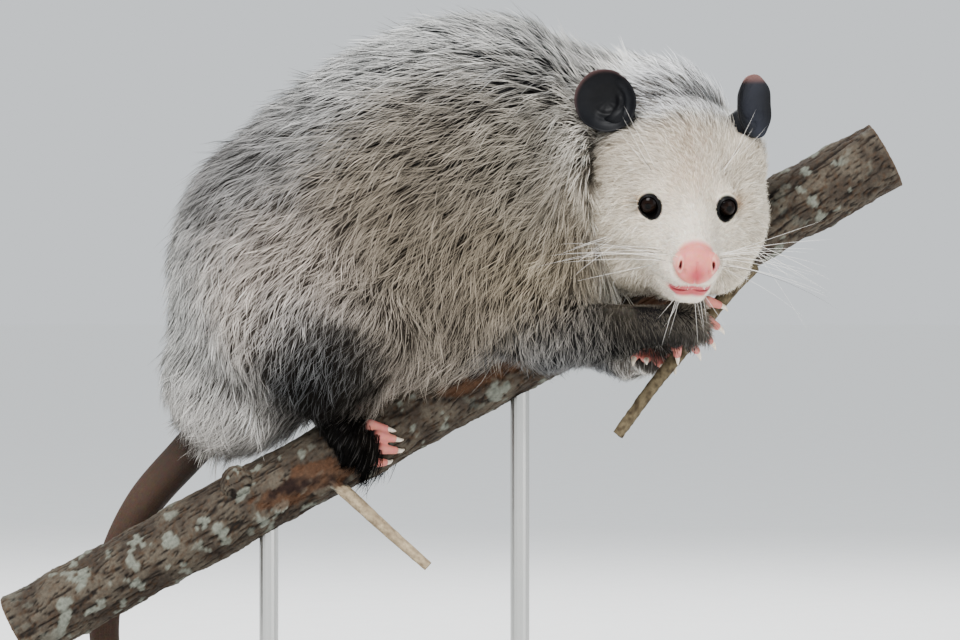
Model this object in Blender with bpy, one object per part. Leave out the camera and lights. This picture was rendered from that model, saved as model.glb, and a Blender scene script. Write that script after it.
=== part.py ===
"""A Virginia opossum on a cut length of branch, life size, held over a flat base by two rods.

Metres. X runs along the animal from its rump to its head, Y away from the side that its face looks to,
Z up. The origin is the middle of the base's underside, where the model meets what it stands on.
"""

import math
import random

import bmesh
import bpy
from mathutils import Matrix, Vector, noise
from mathutils.bvhtree import BVHTree

MM = 0.001
GAP = 0.3 * MM
WELD = 0.001 * MM
# A corner moves out by at most this many gaps.
SHARPEST = 4
SEED = 11

# The perch: a straight branch that climbs to the right, and a twig under the hands.
BRANCH_MID = Vector((21, 0, 227.3)) * MM
BRANCH_SLOPE = math.radians(28.7)
BRANCH_RADIUS = 18.5 * MM
BRANCH_ENDS = (-277 * MM, 243 * MM)
BRANCH_UNEVEN = 0.035
STUB = ((-52, -12, 170), 3.6, (-6, -20, 129), 2.6)
KNOB = ((-106, -12, 172), 9)
TWIG_PATH = ((163, -15, 285), (150, -27, 272), (130, -34, 247), (111, -38, 224), (92, -40, 198))
TWIG_RADII = (4.1, 3.8, 3.5, 3.2, 2.9)
BRANCH_SIDES = 14
TWIG_SIDES = 8

# The stand: base plate and two rods that end in the branch's underside.
BASE_SIZE = Vector((310, 190, 16)) * MM
BASE_EDGE = 3 * MM
ROD_RADIUS = 5 * MM
ROD_PLACES = (-90 * MM, 42 * MM)

# The head's frame: between the eyes, X to the animal's left, Y to its nape, Z up, nose tipped down.
EYES_MIDDLE = Vector((125.8, -75, 315.8)) * MM
HEAD_PITCH = math.radians(20)
HEAD_ROLL = math.radians(1.6)
HEAD_YAW = math.radians(4.5)
EYE_PLACE = (19, -1.5, 0.5)
EYE_RADIUS = 6.2
LID = 1.3
LID_OPENING = (5.6, 14, 6.0)
NOSE = ((0, -47.5, -16), (10.5, 7.5, 10))
NOSE_WING = ((7.2, -48.5, -14), (4.8, 5.2, 5.4))
NOSTRIL = ((8.4, -55, -14), 1.7)
MOUTH = ((18.5, -8, -36), (16.5, -19, -35), (12.5, -30, -33.5), (7, -39, -32.2), (0, -43, -31.5))
LIP_RADIUS = 2.4
LIP_SUNK = 0.9
MOUTH_LINE = 0.8

# Ears: a round cup on a short stalk. Place and facing are in the head's frame.
EAR_RADIUS = 16.0
EAR_DEPTH = 7.0
EAR_WALL = 1.5
EARS = {
    "ear_right": ((-41.5, 31, 44), (-0.22, -1.0, 0.3)),
    "ear_left": ((36.5, 34, 43), (0.8, -0.66, 0.3)),
}
EAR_ROOTS = {"ear_right": (-24, 40, 22), "ear_left": (24, 40, 22)}
STALK_RADII = (9.5, 8.0)

# Masses of the trunk without coat: centre, radii, and how deep the coat stands there.
TRUNK = {
    "rump": ((-84, 18, 281), (45, 57, 66), 18),
    "tail_root": ((-108, 20, 228), (26, 36, 30), 16),
    "loin": ((-54, 12, 296), (50, 60, 75), 18),
    "flank": ((-21, 6, 310), (56, 62, 82), 18),
    "ribs": ((6, -2, 321), (52, 60, 82), 18),
    "chest": ((32, -10, 327), (48, 54, 76), 18),
    "haunch_right": ((-68, -24, 264), (40, 34, 42), 13),
    "haunch_left": ((-64, 56, 264), (38, 32, 42), 13),
    "shoulder_right": ((44, -38, 294), (32, 24, 44), 14),
    "shoulder_left": ((52, 22, 298), (32, 24, 42), 14),
    "neck": ((72, -6, 332), (42, 38, 57), 16),
    "nape": ((112, -8, 336), (38, 30, 47), 15),
}
# Masses of the head in its own frame: centre, radii, coat.
HEAD_MASSES = {
    "cranium": ((0, 42, 8), (32, 38, 30), 6),
    "forehead": ((0, 18, 2), (25, 26, 19), 4),
    "temple": ((24, 36, 7), (16, 24, 22), 8),
    "cheek": ((23, 27, -14), (18, 26, 25), 9),
    "jaw_muscle": ((18, 30, -33), (17, 28, 18), 9),
    "throat": ((0, 48, -18), (28, 28, 26), 9),
    "brow": ((13, 8, 1), (12, 15, 11), 3),
}
HEAD_PAIRS = {"temple", "cheek", "jaw_muscle", "brow"}
# Tapering masses of the head: start, radius, end, radius, coat at the start and at the end.
HEAD_TAPERS = {
    "muzzle": ((0, 6, -8), 18, (0, -40, -13.5), 10.2, 3, 0.6),
    "lip": ((10, 2, -21), 13, (4.5, -38, -22), 8.4, 3, 0.6),
    "jaw": ((8, 24, -37), 14, (2.5, -34, -35), 5.6, 5, 0.8),
    "whisker_bed": ((22, 22, -15), 19, (9, -12, -15), 11, 7, 2),
}
TAPER_PAIRS = {"lip", "jaw", "whisker_bed"}

# Limbs without coat, from the body down: X, Y, Z and radius. Then the depth of their coat.
LIMBS = {
    "foreleg_right": ((42, -40, 296, 21), (60, -50, 250, 14), (88, -57, 252, 10.5), (113, -56, 255, 8)),
    "foreleg_left": ((62, 28, 294, 19), (84, 38, 250, 12.5), (100, 20, 240, 9.5), (108, -4, 240, 7.5)),
    "hind_leg_right": ((-66, -36, 262, 26), (-36, -50, 252, 16), (-47, -44, 234, 12), (-59, -28, 217, 8.5)),
    "hind_leg_left": ((-58, 60, 264, 24), (-28, 56, 256, 15), (-39, 46, 238, 12), (-51, 29, 221, 8.5)),
}
LIMB_COAT = 7

# Paws: each stretch is a start, a radius, an end and a radius. Digits end in a claw.
HAND_RIGHT_PALM = ((110, -56, 255), 8.5, (127, -51, 256), 10)
HAND_RIGHT_DIGITS = (
    ((130, -51, 263), (138, -48, 267), (144, -44, 265)),
    ((132, -50, 258), (138, -47, 257), (143, -43, 254)),
    ((131, -50, 252), (136, -46, 250), (139.5, -42, 246.5)),
    ((127, -50, 249), (130, -46, 245), (132.5, -42, 241.5)),
    ((121, -51, 248), (122, -48, 243), (122.5, -44, 239.5)),
)
HAND_LEFT_PALM = ((108, -2, 240), 8, (110, -19, 241), 9)
HAND_LEFT_DIGITS = (
    ((104, -20, 241), (102, -27, 241), (101, -32, 238)),
    ((108, -22, 238), (107, -29, 238), (107, -34, 237)),
    ((113, -22, 237), (114, -28, 236), (115, -32, 234)),
    ((117, -21, 239), (120, -26, 237), (121, -30, 234)),
    ((117, -17, 244), (122, -21, 245), (125, -26, 243)),
)
# Feet lie on the bark. Each point is a place along X, an angle round the branch and a height over it.
FOOT_HEEL = ((-46, 52, 8), 8.5)
FOOT_BALL = ((-43, 6, 6), 9.0)
FOOT_TOES = (
    ((-38, 20, 5), (-32, 17, 5.5), (-25.5, 10, 3)),
    ((-37, 5, 5), (-31, 1, 5.5), (-24.5, -7, 3)),
    ((-38, -10, 5), (-33, -17, 5.5), (-26.5, -27, 3)),
    ((-42, -20, 5), (-39, -30, 5.5), (-34, -38, 3)),
)
FOOT_THUMB = ((-40, 34, 5), (-35, 52, 5), (-31, 72, 3))
LEFT_FOOT_SHIFT = 8
DIGIT_RADII = (3.7, 3.2, 2.6)
CLAW_LENGTH = 6.0
CLAW_RADII = (1.6, 0.4)
PAW_TRIANGLES = 300

# Tail: points of its middle line and radii.
TAIL_PATH = (
    ((-98, 21, 226), 12.0),
    ((-116, 24, 206), 11.0),
    ((-136, 27, 185), 10.4),
    ((-158, 32, 160), 9.9),
    ((-173, 35, 131), 9.3),
    ((-180, 35, 100), 8.4),
    ((-177, 31, 72), 7.3),
    ((-166, 24, 49), 6.2),
    ((-148, 15, 38), 5.1),
    ((-130, 7, 43), 4.0),
    ((-121, 2, 58), 3.0),
    ((-126, 0, 73), 1.9),
)
TAIL_CUTS = (0.36, 0.68)
# A length is straight this far from a cut, so that the two faces there are parallel.
TAIL_SQUARE = 2 * MM
# Locks end this many millimetres off the tail.
TAIL_CLEAR = 5

# Where the body is parted, in this order. A foreleg takes what is near its line, as points and radii.
REGION_LINES = {
    "foreleg_right": (((54, -58, 262), 32), ((86, -59, 251), 23), ((122, -57, 255), 16)),
    "foreleg_left": (((80, 48, 262), 34), ((100, 22, 240), 21), ((109, -10, 240), 15)),
}
# The other parts take what is in their ellipsoid, as centre and radii, and the torso takes the rest.
REGION_BALLS = {
    "head": ((127, -78, 312), (64, 62, 90)),
    "hind_leg_right": ((-54, -60, 240), (54, 42, 54)),
    "hind_leg_left": ((-46, 84, 244), (54, 46, 54)),
    "neck": ((118, -4, 330), (62, 62, 100)),
}
REGIONS = (*REGION_LINES, *REGION_BALLS)
# A faceted ball must be this much larger to hide the flat end of a cone of its radius.
BALL_OVER_CONE = 1.07

# The coat's locks, in millimetres. Half of the coat stands in the core under them.
CORE_SHARE = 0.5
LOCK_SPACING = 24.0
LOCK_LENGTH = (44, 56)
LOCK_WIDTH = 22.0
LOCK_THICKNESS = 4.2
LOCK_ROOT = -4.0
LOCK_RISE = 8.5
LOCK_STEP = 6.0
# A lock is so flat that its edges and tip move out this many gaps to keep one over its faces.
LOCK_FLARE = 5
# A lock's cross-sections: how far along it is, its share of the width, and how high it has risen.
LOCK_STATIONS = ((0.0, 0.6, 0.0), (0.28, 1.0, 0.5), (0.66, 0.8, 0.85))
# Triangles in the body's surface before it is parted, and in the finer one that gives the head.
BODY_TRIANGLES = 1700
HEAD_TRIANGLES = 3400
# The parts that carry locks, in the order in which they keep clear of each other, and their locks' size.
LOCKED = {
    "head": 0.5,
    "foreleg_right": 0.6,
    "foreleg_left": 0.6,
    "hind_leg_right": 0.75,
    "hind_leg_left": 0.75,
    "neck": 1.0,
    "torso": 1.0,
}
# The head has locks only behind and below these places in its own frame, where its coat grows long.
RUFF_START = 24
RUFF_TOP = 22
# How the coat lies: at each place, the way the hair points. The far side mirrors the near one.
LIE = (
    ((114, -12, 384), (-1.0, 0.2, 0.1)),
    ((95, -62, 330), (-0.9, 0.0, -0.5)),
    ((10, 0, 408), (-1.0, 0.0, 0.1)),
    ((-85, 10, 366), (-0.9, 0.0, -0.5)),
    ((-142, 20, 290), (-0.35, 0.0, -1.0)),
    ((-110, -10, 220), (-0.5, 0.0, -0.9)),
    ((-20, -65, 330), (-0.9, 0.0, -0.45)),
    ((-10, -62, 260), (-0.4, 0.0, -0.9)),
    ((-80, -62, 290), (-0.5, 0.0, -0.85)),
    ((45, -62, 300), (-0.55, 0.0, -0.85)),
    ((30, -30, 244), (-0.3, -0.2, -1.0)),
    ((-45, -62, 240), (-0.35, 0.0, -1.0)),
    ((85, -66, 250), (0.35, 0.0, -0.9)),
    ((168, -50, 310), (0.5, 0.8, -0.3)),
    ((84, -60, 300), (-0.7, 0.5, -0.6)),
)
LIE_REACH = 34.0


def mm(values):
    return Vector(values) * MM


def branch_axis(x):
    """The point of the branch's middle line over x."""
    return Vector((x, 0, BRANCH_MID.z + (x - BRANCH_MID.x) * math.tan(BRANCH_SLOPE)))


def on_branch(x, angle, height):
    """A point over the bark: the angle is 0 on the near side, 90 on top and 180 on the far side."""
    turn = math.radians(angle)
    up = Vector((-math.sin(BRANCH_SLOPE), 0, math.cos(BRANCH_SLOPE)))
    out = Vector((0, -math.cos(turn), 0)) + up * math.sin(turn)
    return branch_axis(x * MM) + out * (BRANCH_RADIUS + height * MM)


def head_frame():
    yaw = Matrix.Rotation(HEAD_YAW, 4, "Z")
    tilt = Matrix.Rotation(HEAD_ROLL, 4, "Y") @ Matrix.Rotation(HEAD_PITCH, 4, "X")
    return Matrix.Translation(EYES_MIDDLE) @ yaw @ tilt


HEAD = head_frame()


def on_head(place, side=1):
    """A place in the head's frame, in millimetres, as a point of the model."""
    return HEAD @ mm((place[0] * side, place[1], place[2]))


def material(name, colour, roughness, metallic=0.0):
    made = bpy.data.materials.new(name)
    made.use_nodes = True
    shader = made.node_tree.nodes["Principled BSDF"]
    shader.inputs["Base Color"].default_value = (*colour, 1)
    shader.inputs["Roughness"].default_value = roughness
    shader.inputs["Metallic"].default_value = metallic
    return made


def new_object(name, bm, look=None):
    mesh = bpy.data.meshes.new(name)
    bm.to_mesh(mesh)
    bm.free()
    obj = bpy.data.objects.new(name, mesh)
    bpy.context.scene.collection.objects.link(obj)
    if look:
        mesh.materials.append(look)
    return obj


def settle(obj):
    """Applies the object's modifiers to its mesh."""
    graph = bpy.context.evaluated_depsgraph_get()
    mesh = bpy.data.meshes.new_from_object(obj.evaluated_get(graph))
    old = obj.data
    obj.modifiers.clear()
    obj.data = mesh
    bpy.data.meshes.remove(old)
    return obj


def boolean(obj, others, operation):
    """Joins or cuts the object with all of the others at once, and removes them."""
    group = bpy.data.collections.new("group")
    bpy.context.scene.collection.children.link(group)
    for other in others:
        bpy.context.scene.collection.objects.unlink(other)
        group.objects.link(other)
    change = obj.modifiers.new("change", "BOOLEAN")
    change.operation = operation
    change.operand_type = "COLLECTION"
    change.collection = group
    change.solver = "MANIFOLD"
    settle(obj)
    for other in others:
        bpy.data.objects.remove(other)
    bpy.data.collections.remove(group)
    return obj


def islands(bm):
    """The mesh's separate surfaces, as sets of faces, smallest first. Where two only touch, they part."""
    left = set(bm.faces)
    found = []
    while left:
        island = set()
        reached = [left.pop()]
        while reached:
            face = reached.pop()
            island.add(face)
            for edge in face.edges:
                for other in edge.link_faces if len(edge.link_faces) == 2 else ():
                    if other in left:
                        left.remove(other)
                        reached.append(other)
        found.append(island)
    return sorted(found, key=len)


def keep_largest(obj):
    """Welds what coincides and drops every closed surface but the largest."""
    bm = bmesh.new()
    bm.from_mesh(obj.data)
    bmesh.ops.remove_doubles(bm, verts=bm.verts, dist=WELD)
    for island in islands(bm)[:-1]:
        bmesh.ops.delete(bm, geom=list(island), context="FACES")
    bm.to_mesh(obj.data)
    bm.free()
    return obj


def copy_of(obj, name="copy"):
    made = obj.copy()
    made.data = obj.data.copy()
    made.name = name
    bpy.context.scene.collection.objects.link(made)
    return made


def grown(obj):
    """A copy of the object with each of its faces moved out by the gap."""
    made = copy_of(obj, "grown")
    bm = bmesh.new()
    bm.from_mesh(made.data)
    moves = []
    for vert in bm.verts:
        least = min(vert.normal.dot(face.normal) for face in vert.link_faces)
        moves.append(vert.normal * GAP / max(least, 1 / SHARPEST))
    for vert, move in zip(bm.verts, moves):
        vert.co += move
    bm.to_mesh(made.data)
    bm.free()
    return made


def add_ball(bm, centre, radii, frame=None, detail=3):
    scale = Matrix.Diagonal((*radii, 1))
    matrix = (frame or Matrix.Identity(4)) @ Matrix.Translation(centre) @ scale
    bmesh.ops.create_icosphere(bm, subdivisions=detail, radius=1, matrix=matrix)


def ball(name, centre, radii, frame=None, detail=3):
    bm = bmesh.new()
    add_ball(bm, centre, radii, frame, detail)
    return new_object(name, bm)


def add_cone(bm, start, first, end, last, sides=16):
    along = end - start
    turn = along.to_track_quat("Z", "Y").to_matrix().to_4x4()
    matrix = Matrix.Translation((start + end) / 2) @ turn
    bmesh.ops.create_cone(
        bm, cap_ends=True, segments=sides, radius1=first, radius2=last, depth=along.length, matrix=matrix
    )


def add_taper(bm, start, first, end, last):
    """A cone between two balls, all in metres."""
    add_cone(bm, start, first, end, last)
    add_ball(bm, start, (first,) * 3, detail=2)
    add_ball(bm, end, (last,) * 3, detail=2)


def thinned(obj, faces):
    """The object's surface in about that many triangles."""
    fewer = obj.modifiers.new("fewer", "DECIMATE")
    fewer.ratio = min(1.0, faces / (2 * len(obj.data.polygons)))
    return settle(obj)


def remeshed(name, bm, voxel, rounds):
    """One smooth closed surface round all the shapes in bm."""
    obj = new_object(name, bm)
    skin = obj.modifiers.new("skin", "REMESH")
    skin.mode = "VOXEL"
    skin.voxel_size = voxel
    smooth = obj.modifiers.new("smooth", "SMOOTH")
    smooth.factor = 0.5
    smooth.iterations = rounds
    return settle(obj)


def add_trunk(bm, share):
    for centre, radii, coat in TRUNK.values():
        add_ball(bm, mm(centre), [(r + coat * share) * MM for r in radii])


def add_head(bm, share):
    for name, (centre, radii, coat) in HEAD_MASSES.items():
        for side in (1, -1) if name in HEAD_PAIRS else (1,):
            place = mm((centre[0] * side, centre[1], centre[2]))
            add_ball(bm, place, [(r + coat * share) * MM for r in radii], HEAD)
    for name, (start, first, end, last, coat, thin) in HEAD_TAPERS.items():
        for side in (1, -1) if name in TAPER_PAIRS else (1,):
            radii = ((first + coat * share) * MM, (last + thin * share) * MM)
            add_taper(bm, on_head(start, side), radii[0], on_head(end, side), radii[1])


def add_limbs(bm, share):
    more = LIMB_COAT * share
    for stations in LIMBS.values():
        for (*start, first), (*end, last) in zip(stations, stations[1:]):
            add_taper(bm, mm(start), (first + more) * MM, mm(end), (last + more) * MM)


def whole_body(*sizes):
    """Trunk, head and upper limbs as one surface, before it is parted, once for each number of triangles."""
    bm = bmesh.new()
    add_trunk(bm, CORE_SHARE)
    trunk = remeshed("trunk", bm, 4 * MM, 20)
    bm = bmesh.new()
    bm.from_mesh(trunk.data)
    bpy.data.objects.remove(trunk)
    add_head(bm, 1)
    add_limbs(bm, CORE_SHARE)
    full = remeshed("whole", bm, 2 * MM, 12)
    made = [thinned(copy_of(full, "whole"), faces) for faces in sizes]
    bpy.data.objects.remove(full)
    return made


def region(name, grow=0.0):
    """The space that a part takes of the body, as a closed object."""
    if name in REGION_BALLS:
        centre, radii = REGION_BALLS[name]
        return ball("region", mm(centre), [r * MM + grow for r in radii], detail=3)
    stations = [(mm(place), radius * MM + grow) for place, radius in REGION_LINES[name]]
    pieces = [ball("region", place, (radius * BALL_OVER_CONE,) * 3, detail=2) for place, radius in stations]
    for (start, first), (end, last) in zip(stations, stations[1:]):
        bm = bmesh.new()
        add_cone(bm, start, first, end, last, sides=16)
        pieces.append(new_object("region", bm))
    return boolean(pieces[0], pieces[1:], "UNION")


def beside_line(place, stations, more=0.0):
    """Whether the place is within the radius of a line of points and radii."""
    for (start, first), (end, last) in zip(stations, stations[1:]):
        along = Vector(end) - Vector(start)
        share = max(0.0, min(1.0, (place - Vector(start)).dot(along) / along.length_squared))
        if (place - Vector(start) - along * share).length < first + (last - first) * share + more:
            return True
    return False


def part_at(point):
    """The name of the part that the body's surface belongs to at the point."""
    place = point / MM
    if beside_line(place, TAIL_PATH[:3], TAIL_CLEAR):
        return "tail_base"
    for name, stations in REGION_LINES.items():
        if beside_line(place, stations):
            return name
    for name, (centre, radii) in REGION_BALLS.items():
        away = place - Vector(centre)
        if sum((away[i] / radii[i]) ** 2 for i in range(3)) < 1:
            return name
    return "torso"


def parted(whole, fine):
    """The whole cut into its parts, each clear of the ones before it. The head is cut from the finer one."""
    cores = {}
    rests = [copy_of(whole), copy_of(fine)]
    for name in REGIONS:
        part = copy_of(rests[name == "head"], name)
        boolean(part, [region(name)], "INTERSECT")
        for rest in rests:
            boolean(rest, [region(name, GAP)], "DIFFERENCE")
        cores[name] = keep_largest(part)
    bpy.data.objects.remove(rests[1])
    rests[0].name = "torso"
    cores["torso"] = keep_largest(rests[0])
    return cores


def lie_at(point, normal):
    """The way the hair points at a place on the body, along its surface."""
    total = Vector()
    for place, way in LIE:
        for side in (1, -1):
            guide = Vector((place[0], place[1] if side > 0 else 10 - place[1], place[2]))
            near = math.exp(-(((point / MM - guide).length / LIE_REACH) ** 2) / 2)
            total += Vector((way[0], way[1] * side, way[2])) * (near + 1e-9)
    total -= normal * total.dot(normal)
    return total.normalized()


def scattered(obj, spacing, seed):
    """Points spread evenly over the object's surface, with its normals."""
    draw = random.Random(seed)
    mesh = obj.data
    mesh.calc_loop_triangles()
    triangles = list(mesh.loop_triangles)
    areas = [t.area for t in triangles]
    kept = []
    for triangle in draw.choices(triangles, areas, k=9000):
        a, b, c = (mesh.vertices[i].co for i in triangle.vertices)
        u, v = draw.random(), draw.random()
        if u + v > 1:
            u, v = 1 - u, 1 - v
        point = a + (b - a) * u + (c - a) * v
        if all((point - other).length > spacing for other, _ in kept):
            kept.append((point, triangle.normal.copy()))
    return kept


def in_ruff(point):
    """Whether the head's coat grows long at the point."""
    place = (HEAD.inverted() @ point) / MM
    return place.y > RUFF_START and place.z < RUFF_TOP


def rooted(whole):
    """The roots of all locks, with the body's normals there."""
    for root, normal in scattered(whole, LOCK_SPACING * MM, SEED):
        if part_at(root) in LOCKED and part_at(root) != "head":
            yield root, normal
    for root, normal in scattered(whole, LOCK_SPACING * LOCKED["head"] * MM, SEED):
        if part_at(root) == "head" and in_ruff(root):
            yield root, normal


def lock_line(surface, root, normal, length, rise, name):
    """Stations of a lock: its middle line lies over the coat and ends where another part starts."""
    line = []
    point, up = root, normal
    reached = 0.0
    for share, wide, high in (*LOCK_STATIONS, (1.0, 0.0, 1.0)):
        while reached < share * length - 1e-6:
            step = min(LOCK_STEP * MM, share * length - reached)
            point, up, _, _ = surface.find_nearest(point + lie_at(point, up) * step)
            reached += step
        height = LOCK_ROOT * MM + (rise - LOCK_ROOT * MM) * high
        line.append((point + up * height, up, wide))
        if share > 0.5 and part_at(point) != name:
            line[-1] = (line[-1][0], up, 0.0)
            break
    return line


def lock(line, size, grow=0.0):
    """One flat tapered lock along its line, ridged on its outer face, as a closed object."""
    bm = bmesh.new()
    rings = []
    for index, (place, up, wide) in enumerate(line[:-1]):
        onward = (line[index + 1][0] - line[max(index - 1, 0)][0]).normalized()
        side = onward.cross(up).normalized()
        out = side.cross(onward).normalized()
        half = LOCK_WIDTH / 2 * MM * wide * size + grow * LOCK_FLARE
        thick = LOCK_THICKNESS * MM * (0.5 + 0.5 * wide) * size + grow
        corners = (side * half - out * grow, side * -half - out * grow, out * thick)
        if index == 0:
            place = place - onward * grow
        rings.append([bm.verts.new(place + corner) for corner in corners])
    tip = bm.verts.new(line[-1][0] + (line[-1][0] - line[-2][0]).normalized() * grow * LOCK_FLARE)
    bm.faces.new(rings[0])
    for lower, upper in zip(rings, rings[1:]):
        for i in range(3):
            j = (i + 1) % 3
            bm.faces.new((lower[i], lower[j], upper[j], upper[i]))
    for i in range(3):
        bm.faces.new((rings[-1][i], rings[-1][(i + 1) % 3], tip))
    bmesh.ops.recalc_face_normals(bm, faces=bm.faces)
    bmesh.ops.triangulate(bm, faces=bm.faces)
    return new_object("lock", bm)


def add_locks(whole, cores, obstacles):
    """The coat's locks, fused to their part and clear of the obstacles, every other part and its locks."""
    surface_mesh = bmesh.new()
    surface_mesh.from_mesh(whole.data)
    surface = BVHTree.FromBMesh(surface_mesh)
    draw = random.Random(SEED)
    lines = {name: [] for name in LOCKED}
    for root, normal in rooted(whole):
        name = part_at(root)
        size = LOCKED[name]
        length = draw.uniform(*LOCK_LENGTH) * MM * size
        ahead = surface.find_nearest(root + lie_at(root, normal) * length / 4)[0]
        if part_at(ahead) == name:
            lines[name].append(lock_line(surface, root, normal, length, LOCK_RISE * MM * size, name))
    surface_mesh.free()
    others = {name: copy_of(core) for name, core in cores.items()}
    for index, (name, found) in enumerate(lines.items()):
        size = LOCKED[name]
        locks = [lock(line, size) for line in found]
        mass = locks.pop()
        boolean(mass, locks, "UNION")
        solids = [core for other, core in others.items() if other != name] + obstacles
        room = [made for solid in solids for made in (copy_of(solid), grown(solid))]
        for earlier in list(lines)[:index]:
            room += [lock(line, LOCKED[earlier], GAP) for line in lines[earlier]]
        boolean(mass, room + perch_room(), "DIFFERENCE")
        boolean(cores[name], [mass], "UNION")
        keep_largest(cores[name])
    for core in others.values():
        bpy.data.objects.remove(core)


def solid_tube(stations, sides):
    """A bent tube with a radius at each point, as a mesh."""
    curve = bpy.data.curves.new("tube", "CURVE")
    curve.dimensions = "3D"
    curve.bevel_depth = 1.0
    curve.bevel_resolution = sides // 2 - 2
    curve.use_fill_caps = True
    line = curve.splines.new("POLY")
    line.points.add(len(stations) - 1)
    for point, (place, radius) in zip(line.points, stations):
        point.co = (*place, 1)
        point.radius = radius
    soft = bpy.data.objects.new("tube", curve)
    bpy.context.scene.collection.objects.link(soft)
    mesh = bpy.data.meshes.new_from_object(soft.evaluated_get(bpy.context.evaluated_depsgraph_get()))
    bpy.data.objects.remove(soft)
    bm = bmesh.new()
    bm.from_mesh(mesh)
    bmesh.ops.remove_doubles(bm, verts=bm.verts, dist=1e-6)
    bmesh.ops.recalc_face_normals(bm, faces=bm.faces)
    return new_object("tube", bm)


def smooth_path(stations, steps):
    """Points of a smooth curve through the stations in millimetres, with their radii, in metres."""
    made = []
    count = len(stations)
    for i in range(count - 1):
        p = [Vector(stations[max(0, min(count - 1, i + k))][0]) for k in (-1, 0, 1, 2)]
        radii = (stations[i][1], stations[i + 1][1])
        for j in range(steps):
            t = j / steps
            place = 0.5 * (
                2 * p[1]
                + (p[2] - p[0]) * t
                + (2 * p[0] - 5 * p[1] + 4 * p[2] - p[3]) * t * t
                + (3 * p[1] - p[0] - 3 * p[2] + p[3]) * t**3
            )
            made.append((place * MM, (radii[0] + (radii[1] - radii[0]) * t) * MM))
    made.append((Vector(stations[-1][0]) * MM, stations[-1][1] * MM))
    return made


def make_tail(look):
    """Three lengths, face to face, from the rump to the curled tip."""
    path = smooth_path(TAIL_PATH, 2)
    marks = [0, *(round(cut * (len(path) - 1)) for cut in TAIL_CUTS), len(path) - 1]
    made = {}
    for name, first, last in zip(("tail_base", "tail_middle", "tail_tip"), marks, marks[1:]):
        stretch = path[first : last + 1]
        if first:
            place, radius = stretch[0]
            onward = (path[first + 1][0] - path[first - 1][0]).normalized()
            stretch[:1] = [(place + onward * GAP, radius), (place + onward * TAIL_SQUARE, radius)]
        if last < len(path) - 1:
            place, radius = stretch[-1]
            onward = (path[last + 1][0] - path[last - 1][0]).normalized()
            stretch[-1:] = [(place - onward * TAIL_SQUARE, radius), (place, radius)]
        made[name] = solid_tube(stretch, 12)
        made[name].name = name
        made[name].data.materials.append(look)
    return made


def branch_line(grow=0.0):
    """The branch's stations, a little uneven, from sawn end to sawn end."""
    along = Vector((math.cos(BRANCH_SLOPE), 0, math.sin(BRANCH_SLOPE)))
    count = 16
    stations = []
    for i in range(count + 1):
        s = BRANCH_ENDS[0] + (BRANCH_ENDS[1] - BRANCH_ENDS[0]) * i / count
        swell = 1 + BRANCH_UNEVEN * noise.noise(Vector((s * 22, 3.1, 0)))
        stations.append((BRANCH_MID + along * s, BRANCH_RADIUS * swell + grow))
    return stations


def twig_line(grow=0.0):
    path = smooth_path([(place, radius + grow / MM) for place, radius in zip(TWIG_PATH, TWIG_RADII)], 3)
    for end, inner in ((0, 1), (-1, -2)):
        place, radius = path[end]
        path[end] = (place + (place - path[inner][0]).normalized() * grow, radius)
    return path


def make_perch(look):
    """The branch with a broken side shoot and a knob, and the twig that the hands hold."""
    branch = solid_tube(branch_line(), BRANCH_SIDES)
    branch.name = "perch_branch"
    start, first, end, last = STUB
    bm = bmesh.new()
    add_cone(bm, mm(start), first * MM, mm(end), last * MM, sides=8)
    knob = ball("knob", mm(KNOB[0]), (KNOB[1] * MM,) * 3, detail=2)
    boolean(branch, [new_object("stub", bm), knob], "UNION")
    twig = solid_tube(twig_line(), TWIG_SIDES)
    twig.name = "perch_twig"
    boolean(twig, [solid_tube(branch_line(GAP), BRANCH_SIDES)], "DIFFERENCE")
    keep_largest(twig)
    for piece in (branch, twig):
        piece.data.materials.append(look)


def perch_room():
    """The branch and the twig a gap wider, to cut what rests on them."""
    return [solid_tube(branch_line(GAP), BRANCH_SIDES), solid_tube(twig_line(GAP), TWIG_SIDES)]


def make_stand(base_look, rod_look):
    bm = bmesh.new()
    matrix = Matrix.Translation((0, 0, BASE_SIZE.z / 2)) @ Matrix.Diagonal((*BASE_SIZE, 1))
    bmesh.ops.create_cube(bm, size=1, matrix=matrix)
    base = new_object("stand_base", bm, base_look)
    edge = base.modifiers.new("edge", "BEVEL")
    edge.width = BASE_EDGE
    edge.segments = 2
    settle(base)
    for number, x in enumerate(ROD_PLACES, 1):
        low = Vector((x, 0, BASE_SIZE.z + GAP))
        top = branch_axis(x)
        bm = bmesh.new()
        add_cone(bm, low, ROD_RADIUS, top, ROD_RADIUS, sides=20)
        rod = new_object(f"stand_rod_{number}", bm, rod_look)
        boolean(rod, [solid_tube(branch_line(GAP), BRANCH_SIDES)], "DIFFERENCE")
        keep_largest(rod)


def add_digit(bm, points):
    """A finger or toe in two stretches, with its claw."""
    for index in range(len(points) - 1):
        add_taper(
            bm, points[index], DIGIT_RADII[index] * MM, points[index + 1], DIGIT_RADII[index + 1] * MM
        )
    claw = points[-1] + (points[-1] - points[-2]).normalized() * CLAW_LENGTH * MM
    add_cone(bm, points[-1], CLAW_RADII[0] * MM, claw, CLAW_RADII[1] * MM, sides=8)


def paw(name, body, digits, look):
    """A hand or foot: its body, five digits and claws as one surface."""
    bm = bmesh.new()
    add_taper(bm, *body)
    for points in digits:
        add_digit(bm, points)
    made = thinned(remeshed(name, bm, 1.0 * MM, 2), PAW_TRIANGLES)
    made.data.materials.append(look)
    return keep_largest(made)


def foot_points(points, far):
    """Points on the bark for the near foot, or mirrored on the far side for the other."""
    shift = LEFT_FOOT_SHIFT if far else 0
    return [on_branch(x + shift, 180 - angle if far else angle, height) for x, angle, height in points]


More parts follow.
